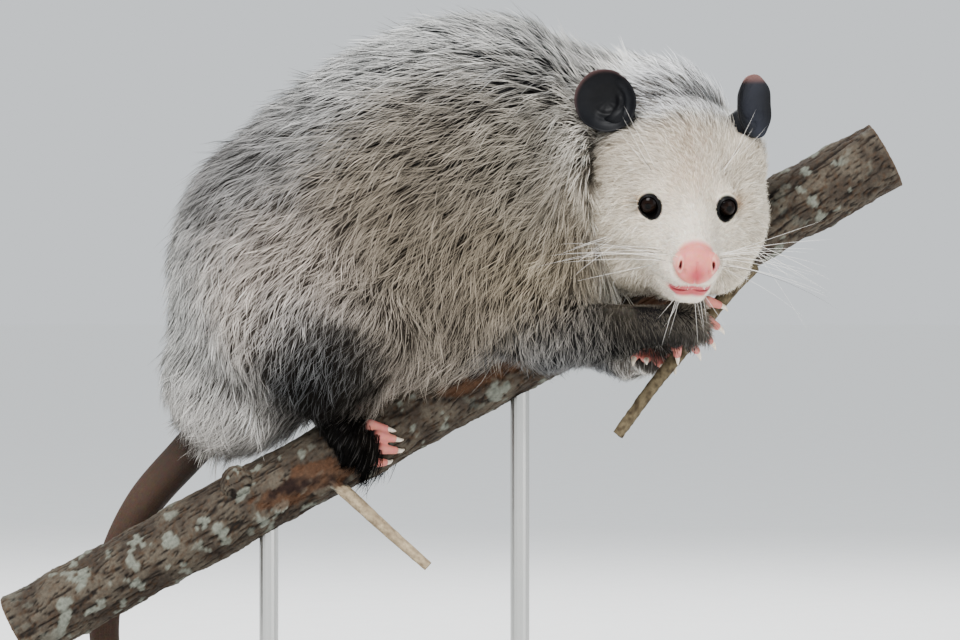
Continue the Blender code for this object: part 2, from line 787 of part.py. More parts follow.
def make_paws(look):
    made = {}
    for name, palm, digits in (
        ("hand_right", HAND_RIGHT_PALM, HAND_RIGHT_DIGITS),
        ("hand_left", HAND_LEFT_PALM, HAND_LEFT_DIGITS),
    ):
        start, first, end, last = palm
        body = (mm(start), first * MM, mm(end), last * MM)
        made[name] = paw(name, body, [[mm(p) for p in points] for points in digits], look)
    for name, far in (("foot_right", False), ("foot_left", True)):
        heel, sole = foot_points((FOOT_HEEL[0], FOOT_BALL[0]), far)
        body = (heel, FOOT_HEEL[1] * MM, sole, FOOT_BALL[1] * MM)
        digits = [foot_points(points, far) for points in (*FOOT_TOES, FOOT_THUMB)]
        made[name] = paw(name, body, digits, look)
    return made


def dish(middle, axes, radius, depth, rim):
    """A closed round dish in millimetres: its floor is a parabola, and it is flat a rim's height over it."""
    side, up, front = axes
    turns = 14
    bm = bmesh.new()
    rings = []
    for share, high in ((1 / 3, 0), (2 / 3, 0), (1, 0), (1, rim)):
        ring = []
        for t in range(turns):
            turn = 2 * math.pi * t / turns
            out = (side * math.cos(turn) * 0.95 + up * math.sin(turn)) * radius * share
            ring.append(bm.verts.new(middle + (out + front * (high - depth * (1 - share**2))) * MM))
        rings.append(ring)
    bottom = bm.verts.new(middle - front * depth * MM)
    for t in range(turns):
        bm.faces.new((bottom, rings[0][t], rings[0][t - 1]))
        for low, high in zip(rings, rings[1:]):
            bm.faces.new((low[t], high[t], high[t - 1], low[t - 1]))
    bm.faces.new(rings[-1])
    bmesh.ops.recalc_face_normals(bm, faces=bm.faces)
    bmesh.ops.triangulate(bm, faces=bm.faces)
    return new_object("dish", bm)


def make_ear(name, look):
    """A thin round cup that faces its own way, on a stalk that runs down into the head."""
    centre, facing = EARS[name]
    middle = on_head(centre)
    front = (HEAD.to_3x3() @ Vector(facing)).normalized()
    stalk = (middle - on_head(EAR_ROOTS[name])).normalized()
    side = front.cross(stalk).normalized()
    up = side.cross(front).normalized()
    axes = (side, up, front)
    ear = dish(middle, axes, EAR_RADIUS, EAR_DEPTH + EAR_WALL * 1.4, 0.1)
    ear.name = name
    ear.data.materials.append(look)
    high = middle - (front * (EAR_DEPTH - 1) + up * EAR_RADIUS * 0.35) * MM
    bm = bmesh.new()
    add_cone(bm, on_head(EAR_ROOTS[name]), STALK_RADII[0] * MM, high, STALK_RADII[1] * MM, sides=14)
    boolean(ear, [new_object("stalk", bm)], "UNION")
    return boolean(ear, [dish(middle, axes, EAR_RADIUS - EAR_WALL, EAR_DEPTH, 6)], "DIFFERENCE")


def make_nose(look):
    """The bare nose: a pad, a wing on each side and two nostrils."""
    pad = ball("nose", mm(NOSE[0]), [r * MM for r in NOSE[1]], HEAD, detail=2)
    pad.data.materials.append(look)
    wings = []
    holes = []
    for side in (1, -1):
        place, radii = NOSE_WING
        centre = mm((place[0] * side, *place[1:]))
        wings.append(ball("wing", centre, [r * MM for r in radii], HEAD, detail=2))
        place, radius = NOSTRIL
        deep = on_head((place[0] - 2, place[1] + 5, place[2]), side)
        holes.append(solid_tube([(deep, radius * MM), (on_head(place, side), radius * MM)], 8))
    boolean(pad, wings, "UNION")
    boolean(pad, holes, "DIFFERENCE")
    return keep_largest(pad)


def make_eye(side, look):
    name = "eye_left" if side > 0 else "eye_right"
    eye = ball(name, on_head(EYE_PLACE, side), (EYE_RADIUS * MM,) * 3, detail=2)
    eye.data.materials.append(look)
    return eye


def mouth_line(head, outward):
    """The line of the mouth on the head's surface, from corner to corner."""
    bm = bmesh.new()
    bm.from_mesh(head.data)
    surface = BVHTree.FromBMesh(bm)
    points = [on_head(p, 1) for p in MOUTH] + [on_head(p, -1) for p in reversed(MOUTH[:-1])]
    line = []
    for point in points:
        near, normal, _, _ = surface.find_nearest(point)
        line.append(near + normal * outward * MM)
    bm.free()
    return line


def finish_head(head, nose):
    """Lids round the eyes, lips along the mouth's line, and room for the eyes and the nose."""
    line = mouth_line(head, -LIP_SUNK)
    groove = mouth_line(head, LIP_SUNK)
    lid_radius = (EYE_RADIUS + LID) * MM
    lids = [ball("lid", on_head(EYE_PLACE, side), (lid_radius,) * 3, detail=2) for side in (1, -1)]
    lips = solid_tube([(point, LIP_RADIUS * MM) for point in line], 8)
    boolean(head, [*lids, lips], "UNION")
    cuts = [solid_tube([(point, MOUTH_LINE * MM) for point in groove], 8), grown(nose)]
    for side in (1, -1):
        cuts.append(ball("room", on_head(EYE_PLACE, side), (EYE_RADIUS * MM + GAP,) * 3, detail=2))
        ahead = mm(((EYE_PLACE[0] + 1.5) * side, EYE_PLACE[1] - 11, EYE_PLACE[2]))
        cuts.append(ball("opening", ahead, [r * MM for r in LID_OPENING], HEAD, detail=2))
    boolean(head, cuts, "DIFFERENCE")
    return keep_largest(head)


def smooth_shaded(obj):
    obj.data.shade_smooth()
    obj.data.set_sharp_from_angle(angle=math.radians(40))


def main():
    for obj in list(bpy.data.objects):
        bpy.data.objects.remove(obj)
    fur = material("grey_coat", (0.42, 0.39, 0.35), 0.9)
    face = material("white_coat", (0.85, 0.8, 0.73), 0.9)
    bare = material("pink_skin", (0.8, 0.42, 0.38), 0.5)
    leather = material("ear_leather", (0.03, 0.03, 0.04), 0.6)
    glassy = material("dark_eye", (0.01, 0.01, 0.012), 0.05)
    paw_skin = material("paw_skin", (0.12, 0.08, 0.08), 0.7)
    tail_skin = material("tail_skin", (0.42, 0.29, 0.22), 0.6)
    bark = material("bark", (0.3, 0.26, 0.21), 0.9)
    plate = material("base_paint", (0.05, 0.05, 0.055), 0.5)
    steel = material("rod_steel", (0.5, 0.5, 0.5), 0.3, 1.0)

    make_perch(bark)
    make_stand(plate, steel)
    paws = make_paws(paw_skin)
    tail = make_tail(tail_skin)
    nose = make_nose(bare)
    for side in (1, -1):
        make_eye(side, glassy)

    whole, fine = whole_body(BODY_TRIANGLES, HEAD_TRIANGLES)
    cores = parted(whole, fine)
    bpy.data.objects.remove(fine)
    for name, core in cores.items():
        core.data.materials.append(face if name == "head" else fur)
        boolean(core, perch_room(), "DIFFERENCE")
        keep_largest(core)
    for paw_obj in paws.values():
        boolean(paw_obj, [*perch_room(), *(grown(core) for core in cores.values())], "DIFFERENCE")
        keep_largest(paw_obj)
    boolean(tail["tail_base"], [grown(cores["torso"]), *perch_room()], "DIFFERENCE")
    keep_largest(tail["tail_base"])
    finish_head(cores["head"], nose)
    ears = [make_ear(name, leather) for name in EARS]
    for ear in ears:
        boolean(ear, [grown(cores["head"]), grown(cores["neck"]), grown(cores["torso"])], "DIFFERENCE")
        keep_largest(ear)
    add_locks(whole, cores, [*paws.values(), tail["tail_base"], *ears])
    bpy.data.objects.remove(whole)
    for obj in bpy.context.scene.objects:
        smooth_shaded(obj)


main()
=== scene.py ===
"""The looks of a life-size Virginia opossum on its perch: skin, coat, face, paws, bark and stand.

Metres, in the model's frame: X runs from the rump to the head, Y away from the side seen first, Z up.
"""

import math

import bmesh
import bpy
import numpy as np
from mathutils import Matrix, Vector, noise
from mathutils.bvhtree import BVHTree
from mathutils.kdtree import KDTree


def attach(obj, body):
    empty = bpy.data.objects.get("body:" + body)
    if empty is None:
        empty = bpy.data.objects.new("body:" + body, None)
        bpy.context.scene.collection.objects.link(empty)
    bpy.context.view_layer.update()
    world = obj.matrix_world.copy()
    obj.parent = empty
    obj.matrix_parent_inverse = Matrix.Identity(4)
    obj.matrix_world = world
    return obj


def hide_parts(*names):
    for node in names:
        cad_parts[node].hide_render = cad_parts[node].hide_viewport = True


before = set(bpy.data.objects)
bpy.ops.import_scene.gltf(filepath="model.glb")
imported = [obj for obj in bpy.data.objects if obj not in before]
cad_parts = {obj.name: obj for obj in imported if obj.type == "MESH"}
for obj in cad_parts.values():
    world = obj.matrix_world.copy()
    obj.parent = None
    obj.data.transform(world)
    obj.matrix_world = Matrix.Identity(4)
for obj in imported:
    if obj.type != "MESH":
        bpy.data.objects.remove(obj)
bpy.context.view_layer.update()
MM = 0.001
SEED = 11

# The view: a long lens at the height of the animal's middle, level, two metres away.
CAMERA_PLACE = (0.02104, -2.0, 0.2573)
CAMERA_LENS = 142.6

# The perch, as in the solids.
BRANCH_MID = Vector((21, 0, 227.3)) * MM
BRANCH_SLOPE = math.radians(28.7)
BRANCH_RADIUS = 18.5 * MM
BRANCH_ENDS = (-277 * MM, 243 * MM)
BRANCH_UNEVEN = 0.035
STUB = ((-52, -12, 170), 3.6, (-6, -20, 129), 2.6)
KNOB = ((-106, -12, 172), 9)
TWIG_PATH = ((163, -15, 285), (150, -27, 272), (130, -34, 247), (111, -38, 224), (92, -40, 198))
TWIG_RADII = (4.1, 3.8, 3.5, 3.2, 2.9)

# The head's frame: between the eyes, X to the animal's left, Y to its nape, Z up, nose tipped down.
EYES_MIDDLE = Vector((125.8, -75, 315.8)) * MM
HEAD_PITCH = math.radians(20)
HEAD_ROLL = math.radians(1.6)
HEAD_YAW = math.radians(4.5)
EYE_PLACE = (19, -1.5, 0.5)
EYE_RADIUS = 6.2
LID = 0.8
LID_OPENING = (5.4, 12, 5.9)
NOSE = ((0, -47.5, -16), (10.5, 7.5, 10))
NOSE_WING = ((7.2, -48.5, -14), (4.8, 5.2, 5.4))
NOSTRIL = (8.3, -52.5, -14.3)
# How far an eye looks aside and ahead, in the head's frame.
LOOK = (1.5, -11)
MOUTH = ((18.5, -8, -36), (16.5, -19, -35), (12.5, -30, -33.5), (7, -39, -32.2), (0, -43, -31.5))
LIP_RADIUS = 2.4

EAR_RADIUS = 16.0
EAR_DEPTH = 7.0
EARS = {
    "ear_right": ((-41.5, 31, 44), (-0.22, -1.0, 0.3)),
    "ear_left": ((36.5, 34, 43), (0.8, -0.66, 0.3)),
}
EAR_ROOTS = {"ear_right": (-24, 40, 22), "ear_left": (24, 40, 22)}

# Masses without coat: centre, radii, and how deep the coat stands there.
TRUNK = {
    "rump": ((-84, 18, 281), (45, 57, 66), 18),
    "tail_root": ((-108, 20, 228), (26, 36, 30), 16),
    "loin": ((-54, 12, 296), (50, 60, 75), 18),
    "flank": ((-21, 6, 310), (56, 62, 82), 18),
    "ribs": ((6, -2, 321), (52, 60, 82), 18),
    "chest": ((32, -10, 327), (48, 54, 76), 18),
    "haunch_right": ((-68, -24, 264), (40, 34, 42), 13),
    "haunch_left": ((-64, 56, 264), (38, 32, 42), 13),
    "shoulder_right": ((44, -38, 294), (32, 24, 44), 14),
    "shoulder_left": ((52, 22, 298), (32, 24, 42), 14),
    "neck": ((72, -6, 332), (42, 38, 57), 16),
    "nape": ((112, -8, 336), (38, 30, 47), 15),
}
HEAD_MASSES = {
    "cranium": ((0, 42, 8), (32, 38, 30), 6),
    "forehead": ((0, 18, 2), (25, 26, 19), 4),
    "temple": ((24, 36, 7), (16, 24, 22), 8),
    "cheek": ((23, 27, -14), (18, 26, 25), 9),
    "jaw_muscle": ((18, 30, -33), (17, 28, 18), 9),
    "throat": ((0, 48, -18), (28, 28, 26), 9),
    "brow": ((13, 8, 1), (12, 15, 11), 3),
}
HEAD_PAIRS = {"temple", "cheek", "jaw_muscle", "brow"}
HEAD_TAPERS = {
    "muzzle": ((0, 6, -8), 18, (0, -40, -13.5), 10.2, 3, 0.6),
    "lip": ((10, 2, -21), 13, (4.5, -38, -22), 8.4, 3, 0.6),
    "jaw": ((8, 24, -37), 14, (2.5, -34, -35), 5.6, 5, 0.8),
    "whisker_bed": ((22, 22, -15), 19, (9, -12, -15), 11, 7, 2),
}
TAPER_PAIRS = {"lip", "jaw", "whisker_bed"}
LIMBS = {
    "foreleg_right": ((42, -40, 296, 21), (60, -50, 250, 14), (88, -57, 252, 10.5), (113, -56, 255, 8)),
    "foreleg_left": ((62, 28, 294, 19), (84, 38, 250, 12.5), (100, 20, 240, 9.5), (108, -4, 240, 7.5)),
    "hind_leg_right": ((-66, -36, 262, 26), (-36, -50, 252, 16), (-47, -44, 234, 12), (-59, -28, 217, 8.5)),
    "hind_leg_left": ((-58, 60, 264, 24), (-28, 56, 256, 15), (-39, 46, 238, 12), (-51, 29, 221, 8.5)),
}
LIMB_COAT = 7
# The share of the coat's depth that the skin keeps on the trunk and on the head.
TRUNK_SHARE = 0.25
SKIN_TRIANGLES = 180000
HEAD_SHARE = 0.3
# The share of its depth at which most of the coat ends; guard hairs reach past it.
COAT_SHARE = 0.85

# Paws: a palm and five digits each, as in the solids.
HAND_RIGHT_PALM = ((110, -56, 255), 8.5, (127, -51, 256), 10)
HAND_RIGHT_DIGITS = (
    ((130, -51, 263), (138, -48, 267), (144, -44, 265)),
    ((132, -50, 258), (138, -47, 257), (143, -43, 254)),
    ((131, -50, 252), (136, -46, 250), (139.5, -42, 246.5)),
    ((127, -50, 249), (130, -46, 245), (132.5, -42, 241.5)),
    ((121, -51, 248), (122, -48, 243), (122.5, -44, 239.5)),
)
HAND_LEFT_PALM = ((108, -2, 240), 8, (110, -19, 241), 9)
HAND_LEFT_DIGITS = (
    ((104, -20, 241), (102, -27, 241), (101, -32, 238)),
    ((108, -22, 238), (107, -29, 238), (107, -34, 237)),
    ((113, -22, 237), (114, -28, 236), (115, -32, 234)),
    ((117, -21, 239), (120, -26, 237), (121, -30, 234)),
    ((117, -17, 244), (122, -21, 245), (125, -26, 243)),
)
FOOT_HEEL = ((-46, 52, 8), 8.5)
FOOT_BALL = ((-43, 6, 6), 9.0)
FOOT_TOES = (
    ((-38, 20, 5), (-33, 14, 5.5), (-28, 1, 3)),
    ((-37, 5, 5), (-32, -3, 5.5), (-27, -17, 3)),
    ((-38, -10, 5), (-34, -19, 5.5), (-29, -34, 3)),
    ((-42, -20, 5), (-40, -31, 5.5), (-36, -44, 3)),
)
FOOT_THUMB = ((-40, 34, 5), (-35, 52, 5), (-31, 72, 3))
LEFT_FOOT_SHIFT = 8
DIGIT_RADII = (3.5, 2.9, 2.0)
CLAW_LENGTH = 5.0

TAIL_PATH = (
    ((-98, 21, 226), 12.0),
    ((-116, 24, 206), 11.0),
    ((-136, 27, 185), 10.4),
    ((-158, 32, 160), 9.9),
    ((-173, 35, 131), 9.3),
    ((-180, 35, 100), 8.4),
    ((-177, 31, 72), 7.3),
    ((-166, 24, 49), 6.2),
    ((-148, 15, 38), 5.1),
    ((-130, 7, 43), 4.0),
    ((-121, 2, 58), 3.0),
    ((-126, 0, 73), 1.9),
)

# How the coat lies: place, the way the hair points, and reach. The body's far side mirrors the near one.
BODY_LIE = (
    ((114, -12, 384), (-1.0, 0.2, 0.1), 34),
    ((95, -62, 330), (-0.9, 0.0, -0.5), 34),
    ((10, 0, 408), (-1.0, 0.0, 0.1), 34),
    ((-85, 10, 366), (-0.9, 0.0, -0.5), 34),
    ((-142, 20, 290), (-0.35, 0.0, -1.0), 34),
    ((-110, -10, 220), (-0.5, 0.0, -0.9), 34),
    ((-20, -65, 330), (-0.9, 0.0, -0.45), 34),
    ((-10, -62, 260), (-0.4, 0.0, -0.9), 34),
    ((-80, -62, 290), (-0.5, 0.0, -0.85), 34),
    ((45, -62, 300), (-0.55, 0.0, -0.85), 34),
    ((30, -30, 244), (-0.3, -0.2, -1.0), 34),
    ((-45, -62, 240), (-0.35, 0.0, -1.0), 34),
    ((85, -66, 250), (0.35, 0.0, -0.9), 26),
)
# The same on the head, in its own frame; both sides alike.
HEAD_LIE = (
    ((0, -35, -5), (0, 1, 0.25), 12),
    ((12, -25, -18), (0.35, 1, 0), 12),
    ((0, 0, 8), (0, 0.8, 0.6), 12),
    ((0, 20, 20), (0, 0.7, 0.7), 14),
    ((19, 4, 13), (0.35, 0.6, 0.7), 10),
    ((36, 32, 20), (0.6, 0.6, 0.5), 14),
    ((24, -5, -11), (0.7, 0.9, -0.1), 12),
    ((40, 20, -15), (0.8, 0.7, -0.15), 16),
    ((34, 25, -36), (0.6, 0.7, -0.5), 16),
    ((16, -18, -30), (0.4, 1, -0.25), 12),
    ((0, -30, -40), (0, 0.9, -0.45), 12),
    ((0, 20, -55), (0, 0.8, -0.6), 20),
    ((0, 52, 40), (0, 0.8, 0.45), 18),
    ((46, 50, -20), (0.4, 0.8, -0.5), 20),
)

# The first words of the nodes that the skin replaces.
FLESH = ("head", "neck", "torso", "foreleg", "hind", "hand", "foot", "tail", "nose")

# Markings of the body: place, reach, the underfur's colour at its root and tip, the guard hair's colour and
# share, and how much light the coat sends back there. The far side mirrors the near one.
BODY_MARKINGS = (
    ((62, -10, 390), 24, "#3b3b3d", "#55575b", "#c9c8c5", 0.40, 0.60),
    ((6, 0, 408), 30, "#303136", "#474a50", "#d4d4d2", 0.36, 0.85),
    ((-44, 0, 384), 24, "#5a5650", "#8a857e", "#d9d8d6", 0.40, 0.42),
    ((-85, -20, 345), 26, "#6d665f", "#979089", "#c8c6c4", 0.35, 0.24),
    ((6, -65, 355), 24, "#3e3c3b", "#5f5a55", "#b5aca0", 0.30, 0.29),
    ((-19, -70, 315), 24, "#5b544b", "#867b6e", "#b9ae9f", 0.30, 0.22),
    ((-4, -65, 268), 22, "#645c54", "#91867a", "#bdb3a6", 0.30, 0.28),
    ((46, -62, 300), 20, "#4f4a45", "#7a7066", "#b0a596", 0.30, 0.32),
    ((66, -65, 297), 13, "#7d6d58", "#a8977c", "#c9bda8", 0.25, 0.42),
    ((62, -60, 343), 20, "#4c4a47", "#6b665f", "#b9b2a6", 0.30, 0.32),
    ((-91, -60, 283), 22, "#93877e", "#b5aaa1", "#cdc5bd", 0.30, 0.65),
    ((-55, -60, 293), 20, "#857a70", "#a89d93", "#c4bbb2", 0.30, 0.57),
    ((-130, 10, 268), 26, "#8f8a84", "#bdb9b3", "#e2e1de", 0.50, 0.44),
    ((-126, -10, 206), 24, "#8c847c", "#b9b2aa", "#dedad5", 0.45, 0.46),
    ((-74, -62, 240), 14, "#101114", "#24272c", "#aab0b6", 0.16, 0.05),
    ((-50, -60, 250), 13, "#15161a", "#2b2e34", "#b4b9be", 0.20, 0.07),
    ((-62, -55, 222), 14, "#0c0c0f", "#17181c", "#7c8085", 0.04, 0.02),
    ((-42, -58, 232), 12, "#121317", "#26292f", "#a5aab0", 0.14, 0.05),
    ((-72, -62, 266), 12, "#5a5653", "#7d7773", "#c4c3c2", 0.35, 0.35),
    ((-19, -45, 238), 20, "#7f756b", "#aaa094", "#c9c0b6", 0.30, 0.38),
    ((61, -55, 240), 16, "#3c3f45", "#5d6066", "#c9cacb", 0.45, 0.28),
    ((96, -64, 252), 14, "#1d1a19", "#35312e", "#a59f96", 0.20, 0.07),
    ((61, -62, 262), 14, "#4a4540", "#6f675e", "#b3a99c", 0.30, 0.22),
    ((-50, -46, 196), 20, "#0d0c0e", "#171518", "#55575c", 0.03, 0.02),
    ((114, -56, 255), 12, "#141213", "#242021", "#8d8782", 0.04, 0.03),
)
# The same on the head, in its own frame.
HEAD_MARKINGS = (
    ((11.5, -7, -4), 3.2, "#4a3428", "#6b4c3c", "#8a6a58", 0.2, 0.45),
    ((28.5, -2, 2), 3.0, "#a87c55", "#cfa57c", "#e0c3a0", 0.2, 0.80),
    ((0, -30, -10), 14, "#e3d9cf", "#f3efe9", "#faf8f4", 0.3, 1.00),
    ((24, -6, -14), 14, "#dcd3c7", "#f2eee6", "#faf8f4", 0.3, 1.00),
    ((38, 18, -12), 14, "#d8cfc1", "#f1ece3", "#faf7f1", 0.3, 1.00),
    ((32, 22, -34), 14, "#d3c9ba", "#efe9de", "#f8f5ee", 0.3, 1.00),
    ((8, -25, -38), 12, "#ddd5ca", "#f3efe9", "#faf8f4", 0.3, 1.00),
    ((0, 4, 8), 7, "#a3958a", "#c9beb3", "#e4ded6", 0.3, 1.00),
    ((0, 22, 20), 8, "#8a7d72", "#b3a89c", "#dcd6ce", 0.3, 1.00),
    ((18, 12, 17), 8, "#cfc6bc", "#e9e4dc", "#f4f1ec", 0.3, 1.00),
    ((34, 28, 14), 12, "#c9c0b5", "#e6e0d7", "#f2efe9", 0.3, 1.00),
    ((0, 48, 40), 16, "#5f5b57", "#8f8b86", "#dedcd8", 0.35, 2.00),
    ((46, 44, 0), 14, "#958b7e", "#bdb3a5", "#ddd7cd", 0.3, 1.00),
    ((44, 46, -30), 14, "#9a8f80", "#c0b5a4", "#ddd6ca", 0.3, 1.00),
    ((0, 30, -56), 16, "#8d8680", "#b8b1aa", "#e0dcd6", 0.3, 1.00),
)

# The view darkens and greys strong light, so the coat's colours are this much more saturated.
RICHNESS = 1.5
# Painted shade: the underfur behind the face keeps this share of its colour, which opens shadows between the
# guard hairs.
UNDERFUR_PAINTED_SHADE = 0.55
# The share of the markings' guard hairs that grow.
GUARD_RARITY = 0.75
# Guard hairs keep this power of the underfur's tone, so they stay silvery over the dark parts.
GUARD_POWER = 0.65
# The face's light in red, green and blue: a warm cream.
FACE_WARMTH = (0.88, 0.83, 0.75)

# Body strands a square millimetre, face strands a square millimetre, and widths in millimetres.
BODY_DENSITY = 1.85
LIMB_DENSITY = 2.4
FACE_DENSITY = 4.6
BODY_WIDTH = 0.36
FACE_WIDTH = 0.19

# The coat's pieces: each strand belongs to the nearest of these places.
COAT_PIECES = {
    "coat_rump_right": (-115, -20, 250),
    "coat_rump_left": (-115, 50, 250),
    "coat_loin_right": (-60, -40, 320),
    "coat_loin_left": (-60, 60, 320),
    "coat_haunch_right": (-60, -60, 250),
    "coat_haunch_left": (-60, 80, 250),
    "coat_ribs_right": (0, -55, 310),
    "coat_ribs_left": (0, 60, 310),
    "coat_back": (0, 0, 400),
    "coat_shoulder_right": (55, -50, 300),
    "coat_shoulder_left": (60, 45, 300),
    "coat_nape": (85, 0, 385),
    "coat_foreleg_right": (95, -55, 252),
    "coat_foreleg_left": (100, 20, 240),
    "coat_crown": (125, -45, 360),
    "coat_face_right": (95, -95, 305),
    "coat_face_left": (150, -95, 305),
    "coat_muzzle": (125, -125, 290),
}


def mm(values):
    return Vector(values) * MM


def head_frame():
    yaw = Matrix.Rotation(HEAD_YAW, 4, "Z")
    tilt = Matrix.Rotation(HEAD_ROLL, 4, "Y") @ Matrix.Rotation(HEAD_PITCH, 4, "X")
    return Matrix.Translation(EYES_MIDDLE) @ yaw @ tilt


HEAD = head_frame()
HEAD_TURN = HEAD.to_euler()
HEAD_ARRAY = np.array(HEAD)


def on_head(place, side=1):
    """A place in the head's frame, in millimetres, as a point of the model."""
    return HEAD @ mm((place[0] * side, place[1], place[2]))


def in_head(points):
    """Points of the model, as an array, in the head's frame and in millimetres."""
    away = points - HEAD_ARRAY[:3, 3]
    return away @ HEAD_ARRAY[:3, :3] / MM


def branch_axis(x):
    return Vector((x, 0, BRANCH_MID.z + (x - BRANCH_MID.x) * math.tan(BRANCH_SLOPE)))


def on_branch(x, angle, height):
    """A point over the bark: the angle is 0 on the near side, 90 on top and 180 on the far side."""
    turn = math.radians(angle)
    up = Vector((-math.sin(BRANCH_SLOPE), 0, math.cos(BRANCH_SLOPE)))
    out = Vector((0, -math.cos(turn), 0)) + up * math.sin(turn)
    return branch_axis(x * MM) + out * (BRANCH_RADIUS + height * MM)


def linear(code):
    """A hex colour as linear red, green and blue."""
    parts = [int(code[i : i + 2], 16) / 255 for i in (1, 3, 5)]
    return tuple(c / 12.92 if c <= 0.04045 else ((c + 0.055) / 1.055) ** 2.4 for c in parts)


# Modelling helpers.


def only(obj):
    """Selects one object and makes it the active one."""
    bpy.ops.object.select_all(action="DESELECT")
    obj.select_set(True)
    bpy.context.view_layer.objects.active = obj
    return obj


def ball(centre, radii, turn=(0, 0, 0), detail=4):
    bpy.ops.mesh.primitive_ico_sphere_add(
        subdivisions=detail, radius=1, location=centre, rotation=turn, scale=radii
    )
    return bpy.context.object


def cone(start, first, end, last, sides=32):
    along = end - start
    bpy.ops.mesh.primitive_cone_add(
        vertices=sides,
        radius1=first,
        radius2=last,
        depth=along.length,
        location=(start + end) / 2,
        rotation=along.to_track_quat("Z", "Y").to_euler(),
    )
    return bpy.context.object


def taper(start, first, end, last):
    """A cone between two balls, as three objects."""
    return [cone(start, first, end, last), ball(start, (first,) * 3), ball(end, (last,) * 3)]


def joined(name, objects):
    """The objects as one, with its place in its mesh."""
    bpy.ops.object.select_all(action="DESELECT")
    for obj in objects:
        obj.select_set(True)
    bpy.context.view_layer.objects.active = objects[0]
    if len(objects) > 1:
        bpy.ops.object.join()
    made = bpy.context.object
    made.name = name
    made.data.name = name
    bpy.ops.object.transform_apply(location=True, rotation=True, scale=True)
    return made


def changed(obj, kind, **settings):
    """The object with a modifier of that kind applied."""
    only(obj)
    change = obj.modifiers.new("change", kind)
    for name, value in settings.items():
        setattr(change, name, value)
    bpy.ops.object.modifier_apply(modifier=change.name)
    return obj


def fused(obj, voxel, rounds):
    """The object's shapes as one smooth closed surface."""
    changed(obj, "REMESH", mode="VOXEL", voxel_size=voxel)
    return changed(obj, "SMOOTH", factor=0.5, iterations=rounds) if rounds else obj


def combined(obj, others, operation):
    """The object united with the others or cut by them, which are removed."""
    for other in others:
        for solver in ("MANIFOLD", "EXACT"):
            before = len(obj.data.vertices)
            changed(obj, "BOOLEAN", operation=operation, object=other, solver=solver)
            if len(obj.data.vertices) != before:
                break
        else:
            raise RuntimeError(f"{other.name} did not change {obj.name}")
        bpy.data.objects.remove(other)
    return obj


def coordinates(mesh):
    flat = np.empty(len(mesh.vertices) * 3, np.float32)
    mesh.vertices.foreach_get("co", flat)
    return flat.reshape(-1, 3)


def place_vertices(mesh, points):
    mesh.vertices.foreach_set("co", np.ascontiguousarray(points, np.float32).ravel())
    mesh.update()


def normals_of(mesh):
    flat = np.empty(len(mesh.vertices) * 3, np.float32)
    mesh.vertices.foreach_get("normal", flat)
    return flat.reshape(-1, 3)


def surface_of(obj):
    bm = bmesh.new()
    bm.from_mesh(obj.data)
    tree = BVHTree.FromBMesh(bm)
    bm.free()
    return tree


def colour_attribute(mesh, name, values):
    made = mesh.color_attributes.new(name, "FLOAT_COLOR", "POINT")
    rgba = np.ones((len(values), 4), np.float32)
    rgba[:, :3] = values
    made.data.foreach_set("color", rgba.ravel())


def smooth_path(stations, steps):
    """Points of a smooth curve through the stations in millimetres, with their radii, in metres."""
    made = []
    count = len(stations)
    for i in range(count - 1):
        p = [Vector(stations[max(0, min(count - 1, i + k))][0]) for k in (-1, 0, 1, 2)]
        radii = (stations[i][1], stations[i + 1][1])
        for j in range(steps):
            t = j / steps
            place = 0.5 * (
                2 * p[1]
                + (p[2] - p[0]) * t
                + (2 * p[0] - 5 * p[1] + 4 * p[2] - p[3]) * t * t
                + (3 * p[1] - p[0] - 3 * p[2] + p[3]) * t**3
            )
            made.append((place * MM, (radii[0] + (radii[1] - radii[0]) * t) * MM))
    made.append((Vector(stations[-1][0]) * MM, stations[-1][1] * MM))
    return made


def tube(name, stations, sides):
    """A bent closed tube with a radius at each point."""
    points = np.array([tuple(place) for place, _ in stations])
    radii = np.array([radius for _, radius in stations])
    along = np.gradient(points, axis=0)
    along /= np.linalg.norm(along, axis=1)[:, None]
    side = np.zeros_like(points)
    side[0] = np.cross(along[0], (0.1, 1, 0.05))
    for i in range(1, len(points)):
        side[i] = side[i - 1]
        side[i] -= along[i] * side[i].dot(along[i])
    side /= np.linalg.norm(side, axis=1)[:, None]
    up = np.cross(side, along)
    turn = np.linspace(0, 2 * math.pi, sides, endpoint=False)
    ring = side[:, None] * np.cos(turn)[None, :, None] + up[:, None] * np.sin(turn)[None, :, None]
    grid = points[:, None] + ring * radii[:, None, None]
    count = len(points)
    vertices = np.vstack((grid.reshape(-1, 3), points[:1], points[-1:]))
    faces = []
    for i in range(count - 1):
        for j in range(sides):
            k = (j + 1) % sides
            faces.append((i * sides + j, i * sides + k, (i + 1) * sides + k, (i + 1) * sides + j))
    last = (count - 1) * sides
    for j in range(sides):
        k = (j + 1) % sides
        faces.append((count * sides, k, j))
        faces.append((count * sides + 1, last + j, last + k))
    mesh = bpy.data.meshes.new(name)
    mesh.from_pydata(vertices, [], faces)
    obj = bpy.data.objects.new(name, mesh)
    bpy.context.scene.collection.objects.link(obj)
    bm = bmesh.new()
    bm.from_mesh(mesh)
    bmesh.ops.recalc_face_normals(bm, faces=bm.faces)
    bm.to_mesh(mesh)
    bm.free()
    mesh.shade_smooth()
    return obj


# The skin.


def trunk_shapes(share):
    made = []
    for centre, radii, coat in TRUNK.values():
        made.append(ball(mm(centre), [(r + coat * share) * MM for r in radii]))
    return made


def limb_shapes(share):
    made = []
    more = LIMB_COAT * share
    for stations in LIMBS.values():
        for (*start, first), (*end, last) in zip(stations, stations[1:]):
            made += taper(mm(start), (first + more) * MM, mm(end), (last + more) * MM)
    return made


